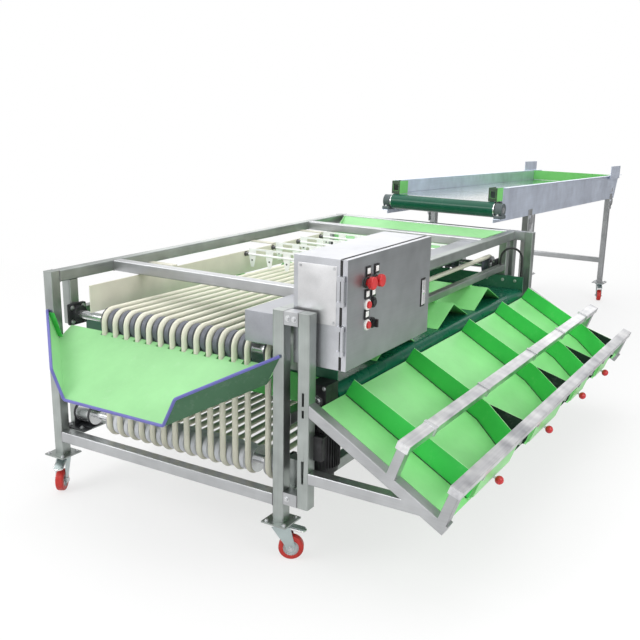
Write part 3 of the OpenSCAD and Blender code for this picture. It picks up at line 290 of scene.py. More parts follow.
softbox("softbox_top", (-0.5, -0.4, 4.6), target=(0.0, 0.0, 0.0), size=(5.0, 6.0), watts=150)
softbox("softbox_front", (-2.6, -5.2, 3.4), target=(-0.2, -1.2, 0.5), size=(3.0, 2.2), watts=95)
softbox("softbox_rear", (-2.2, 4.6, 2.6), target=(0.0, 0.0, 0.8), size=(7.0, 2.6), watts=70)
softbox("softbox_right", (4.0, -2.2, 2.6), target=(0.6, -1.2, 0.4), size=(3.4, 2.4), watts=75)


# Tube frame: posts, rails, cross bars and outriggers of 40 mm square stainless tube, welded and brushed.
# The tube's long edges are rounded as drawn tube is, and the brushed grain runs along each length.
def stainless(name, colour=(0.47, 0.48, 0.49), rough=(0.29, 0.40), grain=260.0, dents=0.2, metal=0.9,
              bumps=0.06, contrast=0.17):
    """Brushed stainless steel. The grain follows the attribute that rounded() stores on each length."""
    steel = Finish(name)
    place = steel.place()
    along = steel.node("Attribute", {"attribute_name": "grain"}, output="Vector")
    run = steel.dot(place, along)
    pulled = steel.node("VectorMath", {"operation": "SCALE"}, {0: along, "Scale": run * 0.985})
    across = steel.node("VectorMath", {"operation": "SUBTRACT"}, {0: place, 1: pulled})
    brushed = steel.noise(grain, across, detail=1.5)
    patches = steel.noise(5.0, place, detail=3.0)
    smears = steel.noise(17.0, place, detail=1.5)
    shade = brushed * 0.15 + patches * 0.5 + smears * 0.35
    dark, light = [tone(*(min(1.0, c * (1 + way * contrast)) for c in colour)) for way in SIDES]
    steel.set(metallic=metal, base_color=steel.mix(steel.band(shade, 0.32, 0.68), dark, light))
    worn = steel.band(brushed * 0.5 + smears * 0.5, 0.3, 0.7)
    steel.set(roughness=rough[0] + (rough[1] - rough[0]) * worn)
    return steel.set(normal=steel.bump(patches * dents + smears * 0.2, bumps, 0.002))


SAME_POINT, FLAT_ANGLE, STRAIGHT, ROUNDED_SMOOTH = 2e-6, math.radians(0.5), 0.98, 32.0
SAME_WAY, AXIS_SHARE, BROAD_SHARE = 0.7, 0.96, 0.25


def rounded(node, width, finishes, shortest=0.06, along=None, segments=3, body="machine", angle=50.0):
    """The node's solid with its long sharp edges rounded, which stands for the node."""
    bm = bmesh.new()
    bm.from_mesh(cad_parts[node].data)
    bmesh.ops.remove_doubles(bm, verts=bm.verts, dist=SAME_POINT)
    bmesh.ops.dissolve_limit(bm, angle_limit=FLAT_ANGLE, verts=bm.verts, edges=bm.edges)
    sharp = []
    for edge in bm.edges:
        if len(edge.link_faces) != 2 or edge.calc_length() < shortest:
            continue
        way = (edge.verts[1].co - edge.verts[0].co).normalized()
        on_length = along is None or abs(way.dot(along)) > STRAIGHT
        if on_length and edge.calc_face_angle() > math.radians(angle):
            sharp.append(edge)
    if sharp:
        bmesh.ops.bevel(bm, geom=sharp, offset=width, offset_type="OFFSET", segments=segments, profile=0.5,
                        affect="EDGES", clamp_overlap=True)
    store_grain(bm)
    lean = [flat_normal(loop) for face in bm.faces for loop in face.loops]
    piece = mesh_piece(node + "_dressed", bm, finishes, body, (node,), ROUNDED_SMOOTH)
    piece.data.normals_split_custom_set(lean)
    return piece


def flat_normal(loop):
    """The way that a corner faces, led by the largest face there that it runs on from."""
    own = loop.face.normal
    near = [face for face in loop.vert.link_faces if face.normal.dot(own) > SAME_WAY]
    return sum((face.normal * face.calc_area() for face in near), own * 1e-9).normalized()


def store_grain(bm):
    """Marks each separate length with the way that it runs."""
    layer = bm.faces.layers.float_vector.new("grain")
    found = set()
    for start in bm.faces:
        if start in found:
            continue
        found.add(start)
        length = [start]
        for face in length:
            near = dict.fromkeys(f for edge in face.edges for f in edge.link_faces if f not in found)
            found.update(near)
            length += near
        corners = [v.co for f in length for v in f.verts]
        first = max(corners, key=lambda c: (c - corners[0]).length)
        second = max(corners, key=lambda c: (c - first).length)
        way = second - first
        main = max(range(3), key=lambda i: abs(way[i]))
        spread = max((way.cross(c - first)).length / way.length for c in corners)
        if abs(way[main]) > AXIS_SHARE * way.length or spread > BROAD_SHARE * way.length:
            way = (X_OUT, Y_OUT, UP)[main]
        for face in length:
            face[layer] = way.normalized()


TUBE_ROUND = 0.0045
steel = stainless("brushed_tube")
post_steel = stainless("post_tube", (0.375, 0.405, 0.390), contrast=0.24)
for tube_node, tube_way, tube_finish in (
        ("frame_posts", UP, post_steel), ("side_rails", Y_OUT, post_steel),
        ("cross_bars", X_OUT, steel), ("outriggers", UP, post_steel)):
    rounded(tube_node, TUBE_ROUND, [tube_finish], along=tube_way)


# Welds: a thin ground bead round every joint of the tube frame.
# Geometry Nodes trees sweep them along each joint's outline.
class Growth:
    """A Geometry Nodes tree with named inputs, built node by node and turned into a plain mesh."""

    def __init__(self, name, **inputs):
        self.tree = bpy.data.node_groups.new(name, "GeometryNodeTree")
        self.tree.interface.new_socket("Geometry", in_out="INPUT", socket_type="NodeSocketGeometry")
        self.values = {}
        for key, value in inputs.items():
            kind = "NodeSocketInt" if isinstance(value, int) else "NodeSocketFloat"
            socket = self.tree.interface.new_socket(key, in_out="INPUT", socket_type=kind)
            self.values[socket.identifier] = value
        self.tree.interface.new_socket("Geometry", in_out="OUTPUT", socket_type="NodeSocketGeometry")
        self.start = self.tree.nodes.new("NodeGroupInput")
        self.end = self.tree.nodes.new("NodeGroupOutput")

    def node(self, kind, settings=None, inputs=None):
        made = self.tree.nodes.new(kind)
        for key, value in (settings or {}).items():
            setattr(made, key, value)
        for key, value in (inputs or {}).items():
            if isinstance(value, bpy.types.NodeSocket):
                self.tree.links.new(value, made.inputs[key])
            else:
                made.inputs[key].default_value = value
        return made.outputs[0]

    def given(self, name):
        return self.start.outputs[name]

    def grow(self, name, mesh, geometry, finish, body, slot, smooth=35.0):
        """Ends the tree, runs it on a mesh of points or paths and keeps the result as a piece."""
        whole = self.node("GeometryNodeRealizeInstances", None, {0: geometry})
        painted = self.node("GeometryNodeSetMaterial", None, {"Geometry": whole, "Material": finish.material})
        self.tree.links.new(painted, self.end.inputs[0])
        seed = bpy.data.objects.new(name + "_marks", mesh)
        bpy.context.scene.collection.objects.link(seed)
        modifier = seed.modifiers.new("grow", "NODES")
        modifier.node_group = self.tree
        for identifier, value in self.values.items():
            modifier[identifier] = value
        shaped = seed.evaluated_get(bpy.context.evaluated_depsgraph_get())
        grown = bpy.data.meshes.new_from_object(shaped)
        bpy.data.objects.remove(seed)
        grown.materials.clear()
        return dress(name, grown, [finish], body, (), smooth)


def path_mesh(paths):
    """A mesh of open or closed lines, for what is swept along them."""
    points, edges = [], []
    for path, closed in paths:
        first = len(points)
        points += [tuple(p) for p in path]
        edges += [(first + i, first + i + 1) for i in range(len(path) - 1)]
        if closed:
            edges.append((len(points) - 1, first))
    mesh = bpy.data.meshes.new("paths")
    mesh.from_pydata(points, edges, [])
    return mesh


def swept(name, paths, radius, finish, body="machine", slot="stainless", sides=10, bend=0.0):
    """A round bead or rod along each path, with its corners bent to a radius, in millimetres."""
    tree = Growth(name, Radius=radius / 1000, Sides=sides, Bend=max(bend, 0.01) / 1000)
    line = tree.node("GeometryNodeMeshToCurve", None, {"Mesh": tree.given("Geometry")})
    if bend:
        line = tree.node("GeometryNodeFilletCurve", {"mode": "POLY"}, {
            "Curve": line, "Count": 5, "Radius": tree.given("Bend"), "Limit Radius": True})
    outline = tree.node("GeometryNodeCurvePrimitiveCircle", {"mode": "RADIUS"}, {
        "Resolution": tree.given("Sides"), "Radius": tree.given("Radius")})
    tube = tree.node("GeometryNodeCurveToMesh", None, {
        "Curve": line, "Profile Curve": outline, "Fill Caps": True})
    return tree.grow(name, path_mesh(paths), tube, finish, body, slot, 50.0)


TUBE, POST_X, FAR_POST_Y = 40, 480, 1980
RAIL_Z, TOP_BAR_Y = (183, 440, 766), (294, 1640, FAR_POST_Y)
STUB_X, STUB_Z = (500, 549), (197, RAIL_Z[2])
WELD_R = 1.3


def joint_line(axis, place, low_side, low_z):
    """The outline of a square tube's joint, across an axis."""
    corners = [(low_side + a, low_z + b) for a, b in ((0, 0), (TUBE, 0), (TUBE, TUBE), (0, TUBE))]
    return [at(place, a, b) if axis == "x" else at(a, place, b) for a, b in corners], True


weld_steel = stainless("weld_bead", (0.36, 0.36, 0.37), (0.32, 0.5), 500.0, 0.4)
bar_ends = [(y, RAIL_Z[0]) for y in (0, FAR_POST_Y)] + [(y, RAIL_Z[2]) for y in TOP_BAR_Y]
joints = []
for side in SIDES:
    joints += [joint_line("x", side * (POST_X - TUBE / 2), y, z) for y, z in bar_ends]
    joints += [joint_line("y", y, side * POST_X - TUBE / 2, z) for y in (TUBE, FAR_POST_Y) for z in RAIL_Z]
joints += [joint_line("x", x, y, z) for x in STUB_X for y in (0, FAR_POST_Y) for z in STUB_Z]
swept("frame_welds", joints, WELD_R, weld_steel, sides=6)


# Bolts and screws: zinc plated hexagon heads on washers, and pan heads, all of stock sizes.
# Each group is one Geometry Nodes tree that sets a head on every marked point.
def marks(spots):
    """A mesh of points, each with the way that its head faces."""
    mesh = bpy.data.meshes.new("marks")
    mesh.from_pydata([tuple(p) for p, _ in spots], [], [])
    facing = mesh.attributes.new("facing", "FLOAT_VECTOR", "POINT")
    facing.data.foreach_set("vector", [c for _, way in spots for c in Vector(way).normalized()])
    return mesh


HEAD_TAPER, WASHER_T, WASHER_SIDES = 0.86, 0.0016, 20
zinc = stainless("zinc_plate", (0.60, 0.61, 0.62), (0.29, 0.45), 420.0, 0.1)


def heads(name, spots, across=10.0, tall=5.0, washer=16.0, sides=6, finish=zinc, body="machine"):
    """Bolt or screw heads on washers, at the spots given, with their sizes in millimetres."""
    tree = Growth(name, Head=across / 2000, Tall=tall / 1000, Washer=washer / 2000, Sides=sides)
    head = tree.node("GeometryNodeMeshCone", None, {
        "Vertices": tree.given("Sides"), "Radius Top": across / 2000 * HEAD_TAPER,
        "Radius Bottom": tree.given("Head"), "Depth": tree.given("Tall")})
    disc = tree.node("GeometryNodeMeshCylinder", None, {
        "Vertices": WASHER_SIDES, "Radius": tree.given("Washer"), "Depth": WASHER_T})
    lifted = tree.node("GeometryNodeTransform", None, {
        "Geometry": head, "Translation": (0, 0, WASHER_T / 2)})
    bolt = tree.tree.nodes.new("GeometryNodeJoinGeometry")
    for part in (lifted, disc):
        tree.tree.links.new(part, bolt.inputs[0])
    way = tree.node("GeometryNodeInputNamedAttribute", {"data_type": "FLOAT_VECTOR"}, {"Name": "facing"})
    turn = tree.node("FunctionNodeAlignRotationToVector", {"axis": "Z"}, {"Vector": way})
    every = tree.node("GeometryNodeInstanceOnPoints", None, {
        "Points": tree.given("Geometry"), "Instance": bolt.outputs[0], "Rotation": turn})
    return tree.grow(name, marks(spots), every, finish, body, "stainless")


def around(reach):
    """The four corners of a square of bolts."""
    return [(a, b) for a in (-reach, reach) for b in (-reach, reach)]


FOOT_TOP_Z, FOOT_BOLT_OUT = 133, 33
STUB_BOLTS = ((514, 217), (514, 786), (536, 786))
CASTORS = ((-480, 20, -60), (480, 20, 30), (-480, 2000, 120), (480, 2000, 60),
           (-195.5, 4400, 100), (355.5, 4400, -70))
foot_bolts = [(at(x + a, y + b, FOOT_TOP_Z), UP) for x, y, _ in CASTORS for a, b in around(FOOT_BOLT_OUT)]
heads("foot_plate_bolts", foot_bolts)
stub_bolts = [(at(x, y, z), way) for x, z in STUB_BOLTS
              for y, way in ((0, -Y_OUT), (FAR_POST_Y + TUBE, Y_OUT))]
heads("stub_bolts", stub_bolts, across=13, tall=6, washer=19)


# Bearing units: cast housings with a steel ball bearing insert, bolted to the stands and the infeed sides.
# The castings are painted black, or slate at the infeed, and are slightly rough from the sand mould.
def cast(name, colour, rough=0.55):
    """A painted casting: grainy, with rubbed and dusty patches."""
    iron = Finish(name)
    sand, dust = iron.noise(420.0, detail=3.0), iron.noise(24.0, detail=5.0)
    worn = iron.band(dust, 0.52, 0.70)
    iron.set(base_color=iron.mix(worn * 0.6, tone(*colour), tone(*(c * 1.9 + 0.02 for c in colour))))
    return iron.set(roughness=rough - 0.14 * worn + 0.1 * sand, normal=iron.bump(sand, 0.25, 0.0008))


def sort_faces(piece, choose):
    """Gives each face one of the piece's finishes, by its middle and the way that it faces."""
    for face in piece.data.polygons:
        face.material_index = choose(face.center, face.normal)


SHAFT_Y, SHAFT_Z = (100, 1900), (643, 275)
MOTOR_BEARING = (-1, SHAFT_Y[0], SHAFT_Z[1])
BEARING_FACE_X, BEARING_BOLT_OUT = 448, 25
INFEED_HEAD, INFEED_FALL = (80, 2060, 891), math.radians(1.9)
INFEED_BEARING = (308, 31, -26)


def on_infeed(x, y, z):
    """A point of the infeed conveyor, from its own level frame at the head roller."""
    fall, run = math.sin(INFEED_FALL), math.cos(INFEED_FALL)
    return at(INFEED_HEAD[0] + x, INFEED_HEAD[1] + y * run + z * fall, INFEED_HEAD[2] - y * fall + z * run)


casting = cast("bearing_casting", (0.020, 0.022, 0.025))
slate_casting = cast("slate_casting", (0.075, 0.095, 0.10))
bearings = rounded("bearing_units", 0.018, [casting, slate_casting], shortest=0.01, along=X_OUT,
                   segments=5)
frame_end = at(0, FAR_POST_Y + TUBE / 2, 0)
sort_faces(bearings, lambda c, n: int(c.y > frame_end.y))
bearing_bolts = [(at(side * BEARING_FACE_X, y + a, z + b), -side * X_OUT)
                 for side in SIDES for y in SHAFT_Y for z in SHAFT_Z if (side, y, z) != MOTOR_BEARING
                 for a, b in around(BEARING_BOLT_OUT)]
bearing_bolts += [(on_infeed(side * INFEED_BEARING[0], end * INFEED_BEARING[1], INFEED_BEARING[2]), UP)
                  for side in SIDES for end in SIDES]
heads("bearing_bolts", bearing_bolts, across=11, tall=6, washer=18)


# Rope rollers: ground steel shafts with turned plastic sheaves, slate grey above and pale grey below.
# Each is one solid that turns in its bearings, so shaft and sheaves only differ in finish.
def paint_by(node, finishes, choose=lambda c, n: 0):
    """Gives each face of a node's own mesh one of the finishes."""
    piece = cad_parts[node]
    piece.data.materials.clear()
    for finish in finishes:
        piece.data.materials.append(finish.material)
    sort_faces(piece, choose)


SHAFT_EDGE, SHEAVE_END = 0.0155, 0.95
shaft_steel = stainless("ground_shaft", (0.68, 0.69, 0.70), (0.15, 0.26), 300.0, 0.05)
slate = plastic("slate_sheave", (0.115, 0.125, 0.155), 0.42)
pale_sheave = plastic("pale_sheave", (0.66, 0.68, 0.72), 0.42)
for shaft_y, shaft_end in zip(SHAFT_Y, ("outlet", "infeed")):
    for shaft_z, tier, sheave in zip(SHAFT_Z, ("upper", "lower"), (slate, pale_sheave)):
        axle = at(0, shaft_y, shaft_z)
        paint_by(f"{tier}_{shaft_end}_roller", [sheave, shaft_steel], lambda c, n: int(
            math.hypot(c.y - axle.y, c.z - axle.z) < SHAFT_EDGE or abs(n.x) > SHEAVE_END))


# Rope motor: a stainless gear drum on the left end of the lower outlet roller, on a dark base plate.
# The drum is a rolled shell with two pressed end flanges.
def block_piece(name, blocks, round_off, finish, body="machine"):
    """Blocks with rounded edges, each given by its low and high corner in millimetres."""
    bm = bmesh.new()
    for low, high in blocks:
        low, high = at(*low), at(*high)
        place = Matrix.Translation((low + high) / 2) @ Matrix.Diagonal(Vector((*(high - low), 1.0)))
        made = bmesh.ops.create_cube(bm, size=1.0, matrix=place)
        edges = dict.fromkeys(edge for corner in made["verts"] for edge in corner.link_edges)
        bmesh.ops.bevel(bm, geom=list(edges), offset=round_off, offset_type="OFFSET", segments=2, profile=0.5,
                        affect="EDGES", clamp_overlap=True)
    return mesh_piece(name, bm, [finish], body)


DRUM_EDGE, DRUM_END = 0.0366, -0.9
motor_dark = cast("motor_flange", (0.030, 0.032, 0.036), 0.4)
rope_motor = rounded("rope_motor", 0.0015, [shaft_steel, motor_dark], shortest=0.002, segments=2)
drum_axle = at(0, SHAFT_Y[0], SHAFT_Z[1])
sort_faces(rope_motor, lambda c, n: int(
    math.hypot(c.y - drum_axle.y, c.z - drum_axle.z) > DRUM_EDGE or n.x < DRUM_END))
block_piece("rope_motor_bracket", (
    ((-500, 41, 223.2), (-388, 79, 228)), ((-460, 70, 228.4), (-384, 130, 232.6)),
    ((-452, 94, 232.2), (-392, 106, 236)), ((-458, 62, 223.2), (-454, 128, 262))),
    0.0008, motor_dark)
heads("bracket_bolts", [(at(x, 60, 228), UP) for x in (-480, -420)], across=11, tall=6, washer=18)


# Grading ropes: endless round cords of cream polyurethane that spread from the infeed to the outlet rollers.
# Each loop is one smooth tube round four rollers, with the straight guard rope at the right.
ROPE_R, ROPE_SIDES, ROPE_STEP = 10.0, 18, 120
ROPE_TURN, QUARTER_STEPS = 42.0, 8
ROPES, ROPE_MIDDLE_X, GUARD_ROPE_X = 13, 25, 405
OUTLET_PITCH, INFEED_PITCH = 50, 38
ROPE_RUN = SHAFT_Y[1] - SHAFT_Y[0]
rope_skin = Finish("cream_cord")
rope_run = rope_skin.node("Mapping", None, {"Vector": rope_skin.node("UVMap"), "Scale": (9.0, 3.0, 1.0)})
rope_streak = rope_skin.noise(1.0, rope_run, detail=4.0)
rope_cloud, rope_fine = rope_skin.noise(6.0, detail=3.0), rope_skin.noise(160.0, detail=3.0)
rope_dirt = rope_skin.band(rope_cloud * 0.5 + rope_streak * 0.5, 0.40, 0.68)
rope_skin.set(base_color=rope_skin.mix(rope_dirt, tone(0.78, 0.77, 0.645), tone(0.68, 0.665, 0.54)))
rope_skin.set(roughness=0.42 + 0.14 * rope_fine,
              normal=rope_skin.bump(rope_streak * 0.6 + rope_fine * 0.4, 0.12, 0.0012))


def rope_path(front_x, rear_x):
    """The middle line of one rope loop."""
    high, low = SHAFT_Z
    far = math.hypot(rear_x - front_x, ROPE_RUN)
    path = []
    for run, height, first in ((0.0, high, 90), (0.0, low, 180), (far, low, 270), (far, high, 360)):
        for step in range(QUARTER_STEPS + 1):
            a = math.radians(first + step * 90 / QUARTER_STEPS)
            path.append((run + ROPE_TURN * math.cos(a), height + ROPE_TURN * math.sin(a)))
    dense = []
    for (a, b), (c, d) in zip(path, path[1:] + path[:1]):
        pieces = max(1, round(math.hypot(c - a, d - b) / ROPE_STEP))
        dense += [(a + (c - a) * i / pieces, b + (d - b) * i / pieces) for i in range(pieces)]
    return [at(front_x + (rear_x - front_x) * run / far, SHAFT_Y[0] + ROPE_RUN * run / far, z)
            for run, z in dense]


def swept_loop(bm, path, radius, sides, across):
    """A closed round tube along a path, with its length in the UV map."""
    uv = bm.loops.layers.uv.verify()
    rings, lengths, total = [], [0.0], 0.0
    count = len(path)
    for i, point in enumerate(path):
        onward = (path[(i + 1) % count] - path[i - 1]).normalized()
        out = onward.cross(across).normalized()
        rings.append([bm.verts.new(point + radius * (math.cos(t) * across + math.sin(t) * out))
                      for t in (2 * math.pi * k / sides for k in range(sides))])
        total += (path[(i + 1) % count] - point).length
        lengths.append(total)
    for i in range(count):
        for k in range(sides):
            j, m = (i + 1) % count, (k + 1) % sides
            face = bm.faces.new((rings[i][k], rings[i][m], rings[j][m], rings[j][k]))
            for loop, (u, v) in zip(face.loops, ((k, i), (k + 1, i), (k + 1, i + 1), (k, i + 1))):
                loop[uv].uv = (u / sides, lengths[v])


rope_ends = [[ROPE_MIDDLE_X + (i - ROPES // 2) * pitch for pitch in (OUTLET_PITCH, INFEED_PITCH)]
             for i in range(ROPES)]
rope_bm = bmesh.new()
for front_x, rear_x in rope_ends + [[GUARD_ROPE_X, GUARD_ROPE_X]]:
    lean = math.atan2(rear_x - front_x, ROPE_RUN)
    rope_across = Vector((math.cos(lean), -math.sin(lean), 0))
    swept_loop(rope_bm, rope_path(front_x, rear_x), ROPE_R / 1000, ROPE_SIDES, rope_across)
bmesh.ops.recalc_face_normals(rope_bm, faces=rope_bm.faces)
mesh_piece("rope_loops", rope_bm, [rope_skin], "machine", ("deck_ropes", "rope_returns"), 60.0)


# Side board and guard: a cream plastic board on arms along the left of the ropes, and a bent stainless
# guard along the right. Both are screwed to the top rails.
def sheet(node, edge, finishes):
    """A node of sheet or board, with its cut edges just broken."""
    return rounded(node, edge, finishes, shortest=0.02, segments=2)


BOARD_FACE_X, BOARD_SCREW_Y, BOARD_SCREW_Z = -344.9, (200, 620, 1040, 1460), (690, 745)
cream = plastic("cream_board", (0.66, 0.645, 0.545), 0.38, 0.05)
sheet("left_board", 0.0010, [cream])
sheet_steel = stainless("brushed_sheet", (0.58, 0.60, 0.66), grain=200.0, dents=0.3, metal=0.7)
guard_steel = stainless("guard_sheet", (0.35, 0.36, 0.39), grain=200.0, metal=0.8, bumps=0.03)
sheet("right_guard", 0.0007, [guard_steel])
block_piece("guard_end", [((352, 12.8, 692), (458, 14.8, 788))], 0.0006, guard_steel)
board_screws = [(at(BOARD_FACE_X, y, z), -X_OUT) for y in BOARD_SCREW_Y for z in BOARD_SCREW_Z]
heads("board_screws", board_screws, across=8, tall=3, washer=12, sides=12)


# Combs: four rows of white plastic fingers on rods across the ropes, which spread the fruit to one layer.
# The first and third rows swing. Each finger is held by a small dark screw, and each rod by a dark nut.
COMBS, COMB_STEP = (("comb_front", 950), ("comb_rear", 1355)), 202.5
ROD_Z, ROD_NUT_X = 752.0, -339
FINGERS, FIRST_FINGER_X, FINGER_SPAN = 8, -304, 620
FINGER_SCREW_Z, FINGER_HALF = 728, 2
comb_white = plastic("white_comb", (0.95, 0.955, 0.96), 0.36, 0.04)
dark_steel = stainless("dark_screw", (0.16, 0.16, 0.17), (0.35, 0.5), 300.0, 0.1)
finger_x = [FIRST_FINGER_X + i * FINGER_SPAN / (FINGERS - 1) for i in range(FINGERS)]
for comb, comb_y in COMBS:
    swinging = rounded(comb, 0.0008, [comb_white], shortest=0.01, segments=2, body=comb)
    next_row = bmesh.new()
    next_row.from_mesh(swinging.data)
    bmesh.ops.translate(next_row, verts=next_row.verts, vec=(0, COMB_STEP / 1000, 0))
    mesh_piece(comb + "_next_row", next_row, [comb_white], "machine")
    for row, row_y, body in ((comb, comb_y, comb), (comb + "_next_row", comb_y + COMB_STEP, "machine")):
        screws = [(at(x, row_y + side * FINGER_HALF, FINGER_SCREW_Z), side * Y_OUT)
                  for x in finger_x for side in SIDES]
        heads(row + "_screws", screws, across=5, tall=2, washer=8, sides=10, finish=dark_steel, body=body)
        heads(row + "_nuts", [(at(ROD_NUT_X, row_y, ROD_Z), X_OUT)], across=17, tall=16, washer=22,
              finish=dark_steel, body=body)


# Outlet chute: folded sheet with a bright green lining, a darker green on its back that paints its shade, and
# a violet plastic edging pressed over its lip and wings. The apron at the infeed end is the same lined sheet.
def lined(name, colour, rough=0.34):
    """Coloured lining on sheet: faint waves, scuffs where fruit slides and a little dust."""
    lining = Finish(name)
    wave, cloud = lining.noise(7.0, detail=2.0), lining.noise(3.2, detail=5.0, rough=0.6)
    rubbed = lining.band(lining.noise(30.0, detail=7.0, rough=0.75), 0.55, 0.75)
    fine = lining.noise(500.0, detail=2.0)
    deep, pale = tone(*(c * 0.86 for c in colour)), tone(*(min(1.0, c * 1.06 + 0.02) for c in colour))
    base = lining.mix(lining.band(cloud, 0.30, 0.70), deep, pale)
    dusty = tone(*(min(1.0, c * 0.75 + 0.18) for c in colour))
    lining.set(base_color=lining.mix(rubbed * 0.35, base, dusty))
    lining.set(roughness=rough + 0.1 * rubbed + 0.06 * fine)
    return lining.set(normal=lining.bump(wave * 0.8 + fine * 0.05 + rubbed * 0.1, 0.10, 0.004))


def prism(bm, low, high):
    """A solid between two like outlines."""
    low, high = [[bm.verts.new(corner) for corner in outline] for outline in (low, high)]
    bm.faces.new(low)
    bm.faces.new(high[::-1])
    for k in range(len(low)):
        bm.faces.new((low[k], high[k], high[k - 1], low[k - 1]))
    bmesh.ops.recalc_face_normals(bm, faces=bm.faces)


TAB_LINE, TAB_FACES = ((-489, 664), (-446, 584), (-418, 584), (-452, 664)), (-4.5, -2.5)
LIP_Y, LIP_Z, CHUTE_FALL, WING_RISE = -200, 455.0, math.radians(31), 93
WING_TOP_Z = LIP_Z - LIP_Y * math.tan(CHUTE_FALL) + WING_RISE
BACK_DOWN, WING_LEAN = -0.2, 0.3
LEFT_EDGING = ((-488, -2, WING_TOP_Z), (-256, LIP_Y, LIP_Z + WING_RISE), (-207, LIP_Y, LIP_Z - 1))
lime = lined("lime_lining", (0.29, 0.64, 0.275))
chute_back_shade = lined("green_back_painted_shade", (0.030, 0.125, 0.052), 0.42)
chute = sheet("outlet_chute", 0.0006, [lime, chute_back_shade])
# Faces that face down, and wing faces that lean outwards, get the darker green: painted shade on the back.
sort_faces(chute, lambda c, n: int(n.z < BACK_DOWN or (n.z < WING_LEAN and c.x * n.x > 0)))
apron = sheet("infeed_apron", 0.0006, [lime, chute_back_shade])
# The apron's down-facing faces get the same darker green, painted shade.
sort_faces(apron, lambda c, n: int(n.z < BACK_DOWN))
tab_green = lined("tab_green", (0.045, 0.50, 0.07))
tab_bm = bmesh.new()
prism(tab_bm, *[[at(x, y, z) for x, z in TAB_LINE] for y in TAB_FACES])
mesh_piece("wing_tab", tab_bm, [tab_green], "machine")
violet = plastic("violet_edging", (0.13, 0.13, 0.42), 0.36, 0.08)
edging_line = [at(*p) for p in LEFT_EDGING] + [at(-x, y, z) for x, y, z in reversed(LEFT_EDGING)]
swept("chute_edging", [(edging_line, False)], 5.0, violet, slot="green_pale", sides=12, bend=12)


# Cross conveyor: a dark green belt between two steel rollers, with green side plates and skirts.
# Light green roofs stand over it and part the fruit into its grades.
def belt_skin(name, colour, rough, coat, coat_ior=1.25):
    """Smooth belt cover with a fine weave, streaks of wear and a polished sheen."""
    cover = Finish(name)
    weave, streak = cover.noise(700.0, detail=2.0), cover.noise(9.0, detail=6.0, rough=0.65)
    worn = cover.band(streak, 0.45, 0.70)
    cover.set(base_color=cover.mix(worn * 0.4, tone(*colour), tone(*(c * 1.4 + 0.008 for c in colour))))
    cover.set(coat_weight=coat, coat_roughness=0.1, coat_ior=coat_ior, specular_ior_level=0.15)
    cover.set(roughness=rough + 0.16 * worn + 0.05 * weave)
    return cover.set(normal=cover.bump(weave * 0.4 + streak * 0.6, 0.06, 0.0012))


NEAR_PLATE_Y = 140.5
PLATE_SCREW_X = (-380, -180, 20, 220, 420, 500, 560)
PLATE_SCREW_ROWS = ((1850.3, 592, -1), (149.7, 592, 1), (140, 566, -1), (1860, 566, 1))
belt_green = belt_skin("green_belt", (0.003, 0.090, 0.050), 0.22, 0.35)
skirt_paint = lined("dark_green_paint", (0.018, 0.150, 0.075), 0.30)
plate_green = lined("plate_green", (0.050, 0.50, 0.07))
roof_lining = lined("roof_lining", (0.21, 0.66, 0.20))
roller_steel = stainless("turned_roller", (0.62, 0.63, 0.64), (0.15, 0.26), 300.0, 0.05)
paint_by("cross_belt", [belt_green])
for roller in ("belt_drive_roller", "belt_tail_roller"):
    paint_by(roller, [roller_steel])
belt_frame = sheet("belt_frame", 0.0010, [skirt_paint, plate_green])
near_plate = at(0, NEAR_PLATE_Y, 0)
sort_faces(belt_frame, lambda c, n: int(c.y < near_plate.y and n.y < -0.5))
sheet("belt_dividers", 0.0008, [roof_lining])
plate_screws = [(at(x, y, z), way * Y_OUT) for x in PLATE_SCREW_X for y, z, way in PLATE_SCREW_ROWS]
heads("belt_plate_screws", plate_screws, across=11, tall=4, washer=16, sides=12)


# Belt gear motor: a black worm gear box on the near end of the drive roller, with a finned motor below.
# Fins, terminal box, shaft end and gear box screws are added to the plain castings.
def turned_piece(name, turns, axis, finish, body="machine", steps=40):
    """Profiles of (radius, height) in millimetres, each turned round an axis at its own centre."""
    side = axis.orthogonal().normalized()
    other = axis.cross(side)
    round_ways = [math.cos(a) * side + math.sin(a) * other
                  for a in (2 * math.pi * k / steps for k in range(steps))]
    bm = bmesh.new()
    for profile, centre in turns:
        rings = [[bm.verts.new(centre + (axis * height + radius * way) / 1000) for way in round_ways]
                 for radius, height in profile]
        for low, high in zip(rings, rings[1:]):
            for k in range(steps):
                bm.faces.new((low[k], low[(k + 1) % steps], high[(k + 1) % steps], high[k]))
        for end in (rings[0], rings[-1]):
            bm.faces.new(end)
    bmesh.ops.recalc_face_normals(bm, faces=bm.faces)
    return mesh_piece(name, bm, [finish], body)


MOTOR_X, MOTOR_Y, MOTOR_Z = 575.0, 104.0, 380
FINS, FIN_SIZE, FIN_OUT, FIN_MARK_R = 36, (0.006, 0.0022, 0.130), 0.0525, 0.0001
GEAR_X, GEAR_FACE_Y, GEAR_Z = MOTOR_X - 1, 68, 525
GEAR_SCREW_X, GEAR_SCREW_Z = (-25, 25), (-44, 44)
SHAFT_END = ((20, 0.0), (20, 3.0), (13, 3.6), (13, 7.0), (12, 8.0), (0.3, 8.0))
motor_black = cast("black_motor", (0.012, 0.012, 0.014), 0.42)
rounded("belt_motor", 0.004, [motor_black], shortest=0.02)
fins = Growth("motor_fins", Fins=FINS)
fin = fins.node("GeometryNodeMeshCube", None, {"Size": FIN_SIZE})
fin_out = fins.node("GeometryNodeTransform", None, {"Geometry": fin, "Translation": (FIN_OUT, 0, 0)})
fin_marks = fins.node("GeometryNodeMeshCircle", None, {"Vertices": fins.given("Fins"), "Radius": FIN_MARK_R})
fin_turn = fins.node("FunctionNodeAlignRotationToVector", {"axis": "X"}, {
    "Vector": fins.node("GeometryNodeInputPosition")})
fin_ring = fins.node("GeometryNodeInstanceOnPoints", None, {
    "Points": fin_marks, "Instance": fin_out, "Rotation": fin_turn})
